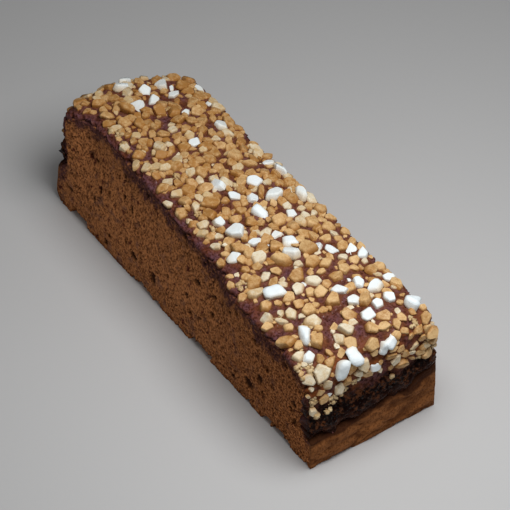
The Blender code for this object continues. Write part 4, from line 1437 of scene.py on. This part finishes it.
def layShapes(rng, shapes, centre, normal, turn, size):
    # the shapes at their true size, tilted a little, turned about the normal and set in place
    shape, quads, corners = shapes
    count, each = shape.shape[:2]
    shape = (shape - shape.mean(axis=1, keepdims=True)) / np.ptp(shape, axis=1)[:, None] * size[:, None]
    tilt = rng.normal(0.0, laying["tilt"], (count, 2))
    x, y, z = shape[..., 0], shape[..., 1], shape[..., 2]
    way = rng.uniform(0.0, 2.0 * math.pi, (count, 1))
    low = laying["filmLean"] * (x * np.cos(way) + y * np.sin(way)) / size[:, None, 0]
    low = z / size[:, None, 2] + low
    x, z = x + z * tilt[:, :1], z - x * tilt[:, :1]
    y, z = y + z * tilt[:, 1:], z - y * tilt[:, 1:]
    side = np.cross(normal, np.stack([np.cos(turn), np.sin(turn), 0.0 * turn], axis=1))
    side /= np.linalg.norm(side, axis=1, keepdims=True)
    front = np.cross(side, normal)
    points = (centre[:, None] + x[..., None] * front[:, None] + y[..., None] * side[:, None]
              + z[..., None] * normal[:, None])
    step = (np.arange(count) * each)[:, None, None]
    far = rise(*laying["toneAlong"], centre[:, 0])
    tone = laying["toneSpread"] * rng.random(count) + laying["toneFar"] * far
    values = {"tone": np.repeat(tone, each), "film": rise(*laying["film"], low).ravel()}
    return (points.reshape(-1, 3), (quads[None] + step).reshape(-1, 4),
            (corners[None] + step).reshape(-1, 3), values)


sugar = {     # pale tone, deep tone and the film at the foot of each kind, and how strong the film is
    "white": ((0.88, 0.96, 1.00, 1.0), (0.86, 0.90, 0.88, 1.0), (0.66, 0.46, 0.21, 1.0), 0.70),
    "rod": ((0.89, 0.97, 1.00, 1.0), (0.88, 0.95, 0.98, 1.0), (0.74, 0.60, 0.38, 1.0), 0.40),
    "cream": ((0.81, 0.74, 0.57, 1.0), (0.64, 0.45, 0.225, 1.0), (0.50, 0.27, 0.080, 1.0), 0.80),
    "caramel": ((0.74, 0.495, 0.235, 1.0), (0.43, 0.200, 0.050, 1.0), (0.36, 0.145, 0.024, 1.0), 0.90),
    "crumbled": ((0.72, 0.55, 0.31, 1.0), (0.48, 0.30, 0.12, 1.0), (0.18, 0.062, 0.016, 1.0), 0.90),
}
grainy = {
    "clouds": (450.0, 3.0),        # scale, detail and, for the grain, roughness of each noise
    "grain": (1500.0, 3.0, 0.7),
    "drift": (2.0, 1.6, 1.8),      # shares of clouds and grain in the tone, and what is taken off them
    "roughWhere": (-0.3, 1.6),
    "relief": 0.4 * mm,
    "surface": {"Roughness": 0.5, "Specular IOR Level": 0.25},
    "reliefShares": (0.6, 0.4),
}


def makeSugarGrain():
    # tone of each nib, cloudy and grainy, with a film of glaze at its foot
    group, given, result = newGroup("sugarGrain",
                                    {"Place": "vector", "Pale": "colour", "Deep": "colour", "Film": "colour",
                                     "FilmShare": "value"},
                                    {"Colour": "colour", "Roughness": "value", "Relief": "value"})
    cloud, grain = [noise(group, given["Place"], *grainy[key]) for key in ("clouds", "grain")]
    cloudy, fine, less = grainy["drift"]
    drift = calc(group, "SUBTRACT", weighed(group, (cloud, cloudy), (grain, fine)), less)
    deep = calc(group, "ADD", kept(group, "tone"), drift, clamp=True)
    tone = blendColour(group, deep, given["Pale"], given["Deep"])
    film = portion(group, kept(group, "film"), given["FilmShare"])
    group.links.new(blendColour(group, film, tone, given["Film"]), result["Colour"])
    group.links.new(between(group, cloud, *grainy["roughWhere"]), result["Roughness"])
    group.links.new(weighed(group, *zip((cloud, grain), grainy["reliefShares"])), result["Relief"])
    return group


def sugarMaterial(kind, sugarGrain):
    # the grain in the colours of one kind of nib
    pale, deep, film, filmShare = sugar[kind]
    material, tree, shader, place = startMaterial(kind + "Sugar", grainy["surface"])
    grain = useGroup(tree, sugarGrain, {"Place": place, "Pale": pale, "Deep": deep,
                                        "Film": film, "FilmShare": filmShare})
    finishMaterial(tree, shader, grain["Colour"], grain["Relief"], grainy["relief"], grain["Roughness"])
    return material


def makeNibs(nib, sugarGrain):
    # a nib's middle is half its height over the glaze, less what it sinks in: a share of its height, up to
    # a limit
    rng = np.random.default_rng(laying["seed"])
    point = skinPoint(nib["spot"][:, 0], nib["spot"][:, 1])
    normal = skinNormal(nib["spot"][:, 0], nib["spot"][:, 1])
    size = nib["size"][:, None] * np.stack([1.0 + 0.0 * nib["wide"], nib["wide"], nib["high"]], axis=1)
    raised = size[:, 2] / 2.0 - np.minimum(nibs["sink"], size[:, 2] * nibs["sinkShare"])
    centre = point + normal * raised[:, None]
    for kind in ("white", "rod", "cream", "caramel"):
        chosen = nib["kind"] == kind
        shapes = (lumpShapes if kind == "rod" else stoneShapes)(rng, chosen.sum())
        points, quads, corners, values = layShapes(rng, shapes, centre[chosen], normal[chosen],
                                                   nib["turn"][chosen], size[chosen])
        material = sugarMaterial(kind, sugarGrain)
        piece = makePiece(kind + "Nibs", points, quads, material, values, corners)
        if kind != "rod":
            softenBevels(piece, points, quads, corners, 2 * stone["corners"])


def softenBevels(piece, points, quads, corners, sides):
    # each point's normal leans to its largest faces, by the square of their area, so that those look flat;
    # the triangles round a pole count as one face
    a, b, c, d = (points[quads[:, k]] for k in range(4))
    walls = np.cross(c - a, d - b)
    a, b, c = (points[corners[:, k]] for k in range(3))
    caps = np.cross(b - a, c - a).reshape(-1, sides, 3).sum(axis=1).repeat(sides, axis=0)
    total = np.zeros_like(points)
    for face, normal in ((quads, walls), (corners, caps)):
        weighted = normal * np.linalg.norm(normal, axis=1, keepdims=True)
        for k in range(face.shape[1]):
            np.add.at(total, face[:, k], weighted)
    total /= np.maximum(np.linalg.norm(total, axis=1, keepdims=True), 1e-30)
    piece.data.normals_split_custom_set_from_vertices(total.tolist())


# crumbled sugar, fused in clusters along the edges and in the gaps
crumbled = {
    "seed": 401,
    "clusters": 44,
    "grains": 24,
    "crowding": 1.5,            # more grains in wider clusters, by this power of their reach
    "size": (0.8 * mm, 3.4 * mm),
    "taper": (1.15, 0.6),       # size in the middle of a cluster, and what is lost at its rim
    "squat": (0.6, 1.0),
    "height": (-0.10, 0.20),    # of a grain's middle over the glaze, in sizes
    "reach": (0.8 * mm, 2.4 * mm),
    "ends": 25 * mm,            # clusters away from the marks keep this far from both ends
    "across": (-27 * mm, 28 * mm),
    "edgeShare": 0.5,           # of the clusters, along the leaning side
    "edgeBand": (2.5 * mm, 8.0 * mm),
    "clear": 1.2 * mm,          # that clusters away from the marks keep from the bare spots
    "limit": 29.2 * mm,
}


def makeCrumbledSugar(sugarGrain):
    # clusters at the marks, along the leaning side and in the gaps; their grains get smaller outwards
    rng = np.random.default_rng(crumbled["seed"])
    count = crumbled["clusters"]
    distance = rng.uniform(crumbled["ends"], pathLength - crumbled["ends"], count)
    y = rng.uniform(*crumbled["across"], count)
    edge = rng.random(count) < crumbled["edgeShare"]
    y[edge] = rng.uniform(*crumbled["edgeBand"], edge.sum()) - bar["halfWidth"]
    loose = np.stack([distance, y], axis=1)
    away = np.linalg.norm(loose[:, None] - spotsAt(marks["bare"])[None], axis=2)
    loose = loose[(away - reachOf(marks["bare"])).min(axis=1) > crumbled["clear"]]
    spots = np.concatenate([spotsAt(marks["crumbled"]), loose])
    reach = np.concatenate([reachOf(marks["crumbled"]), rng.uniform(*crumbled["reach"], len(loose))])
    grains = crumbled["grains"] * (reach / crumbled["reach"][1]) ** crumbled["crowding"]
    grains = grains.astype(int) + 2
    away = np.sqrt(rng.random(grains.sum()))
    way = rng.uniform(0.0, 2.0 * math.pi, grains.sum())
    place = np.repeat(spots, grains, axis=0)
    place += np.stack([np.cos(way), np.sin(way)], axis=1) * (away * np.repeat(reach, grains))[:, None]
    distance, y = place[:, 0], np.clip(place[:, 1], -crumbled["limit"], crumbled["limit"])
    size = rng.uniform(*crumbled["size"], len(way)) * (crumbled["taper"][0] - crumbled["taper"][1] * away)
    normal = skinNormal(distance, y)
    centre = skinPoint(distance, y) + normal * (size * rng.uniform(*crumbled["height"], len(way)))[:, None]
    sizes = size[:, None] * rng.uniform(*crumbled["squat"], (len(way), 3))
    turn = rng.uniform(0.0, 2.0 * math.pi, len(way))
    shapes = stoneShapes(rng, len(way))
    points, quads, corners, values = layShapes(rng, shapes, centre, normal, turn, sizes)
    material = sugarMaterial("crumbled", sugarGrain)
    makePiece("crumbledSugar", points, quads, material, values, corners)


makeCamera()
makeFloor()
makeLight()
bakedSpeckle = makeBakedSpeckle()
sugarGrain = makeSugarGrain()
makeCrumb(bakedSpeckle)
makeCrusts(bakedSpeckle)
nib = placeNibs()
makeGlaze(nib)
makeNibs(nib, sugarGrain)
makeCrumbledSugar(sugarGrain)
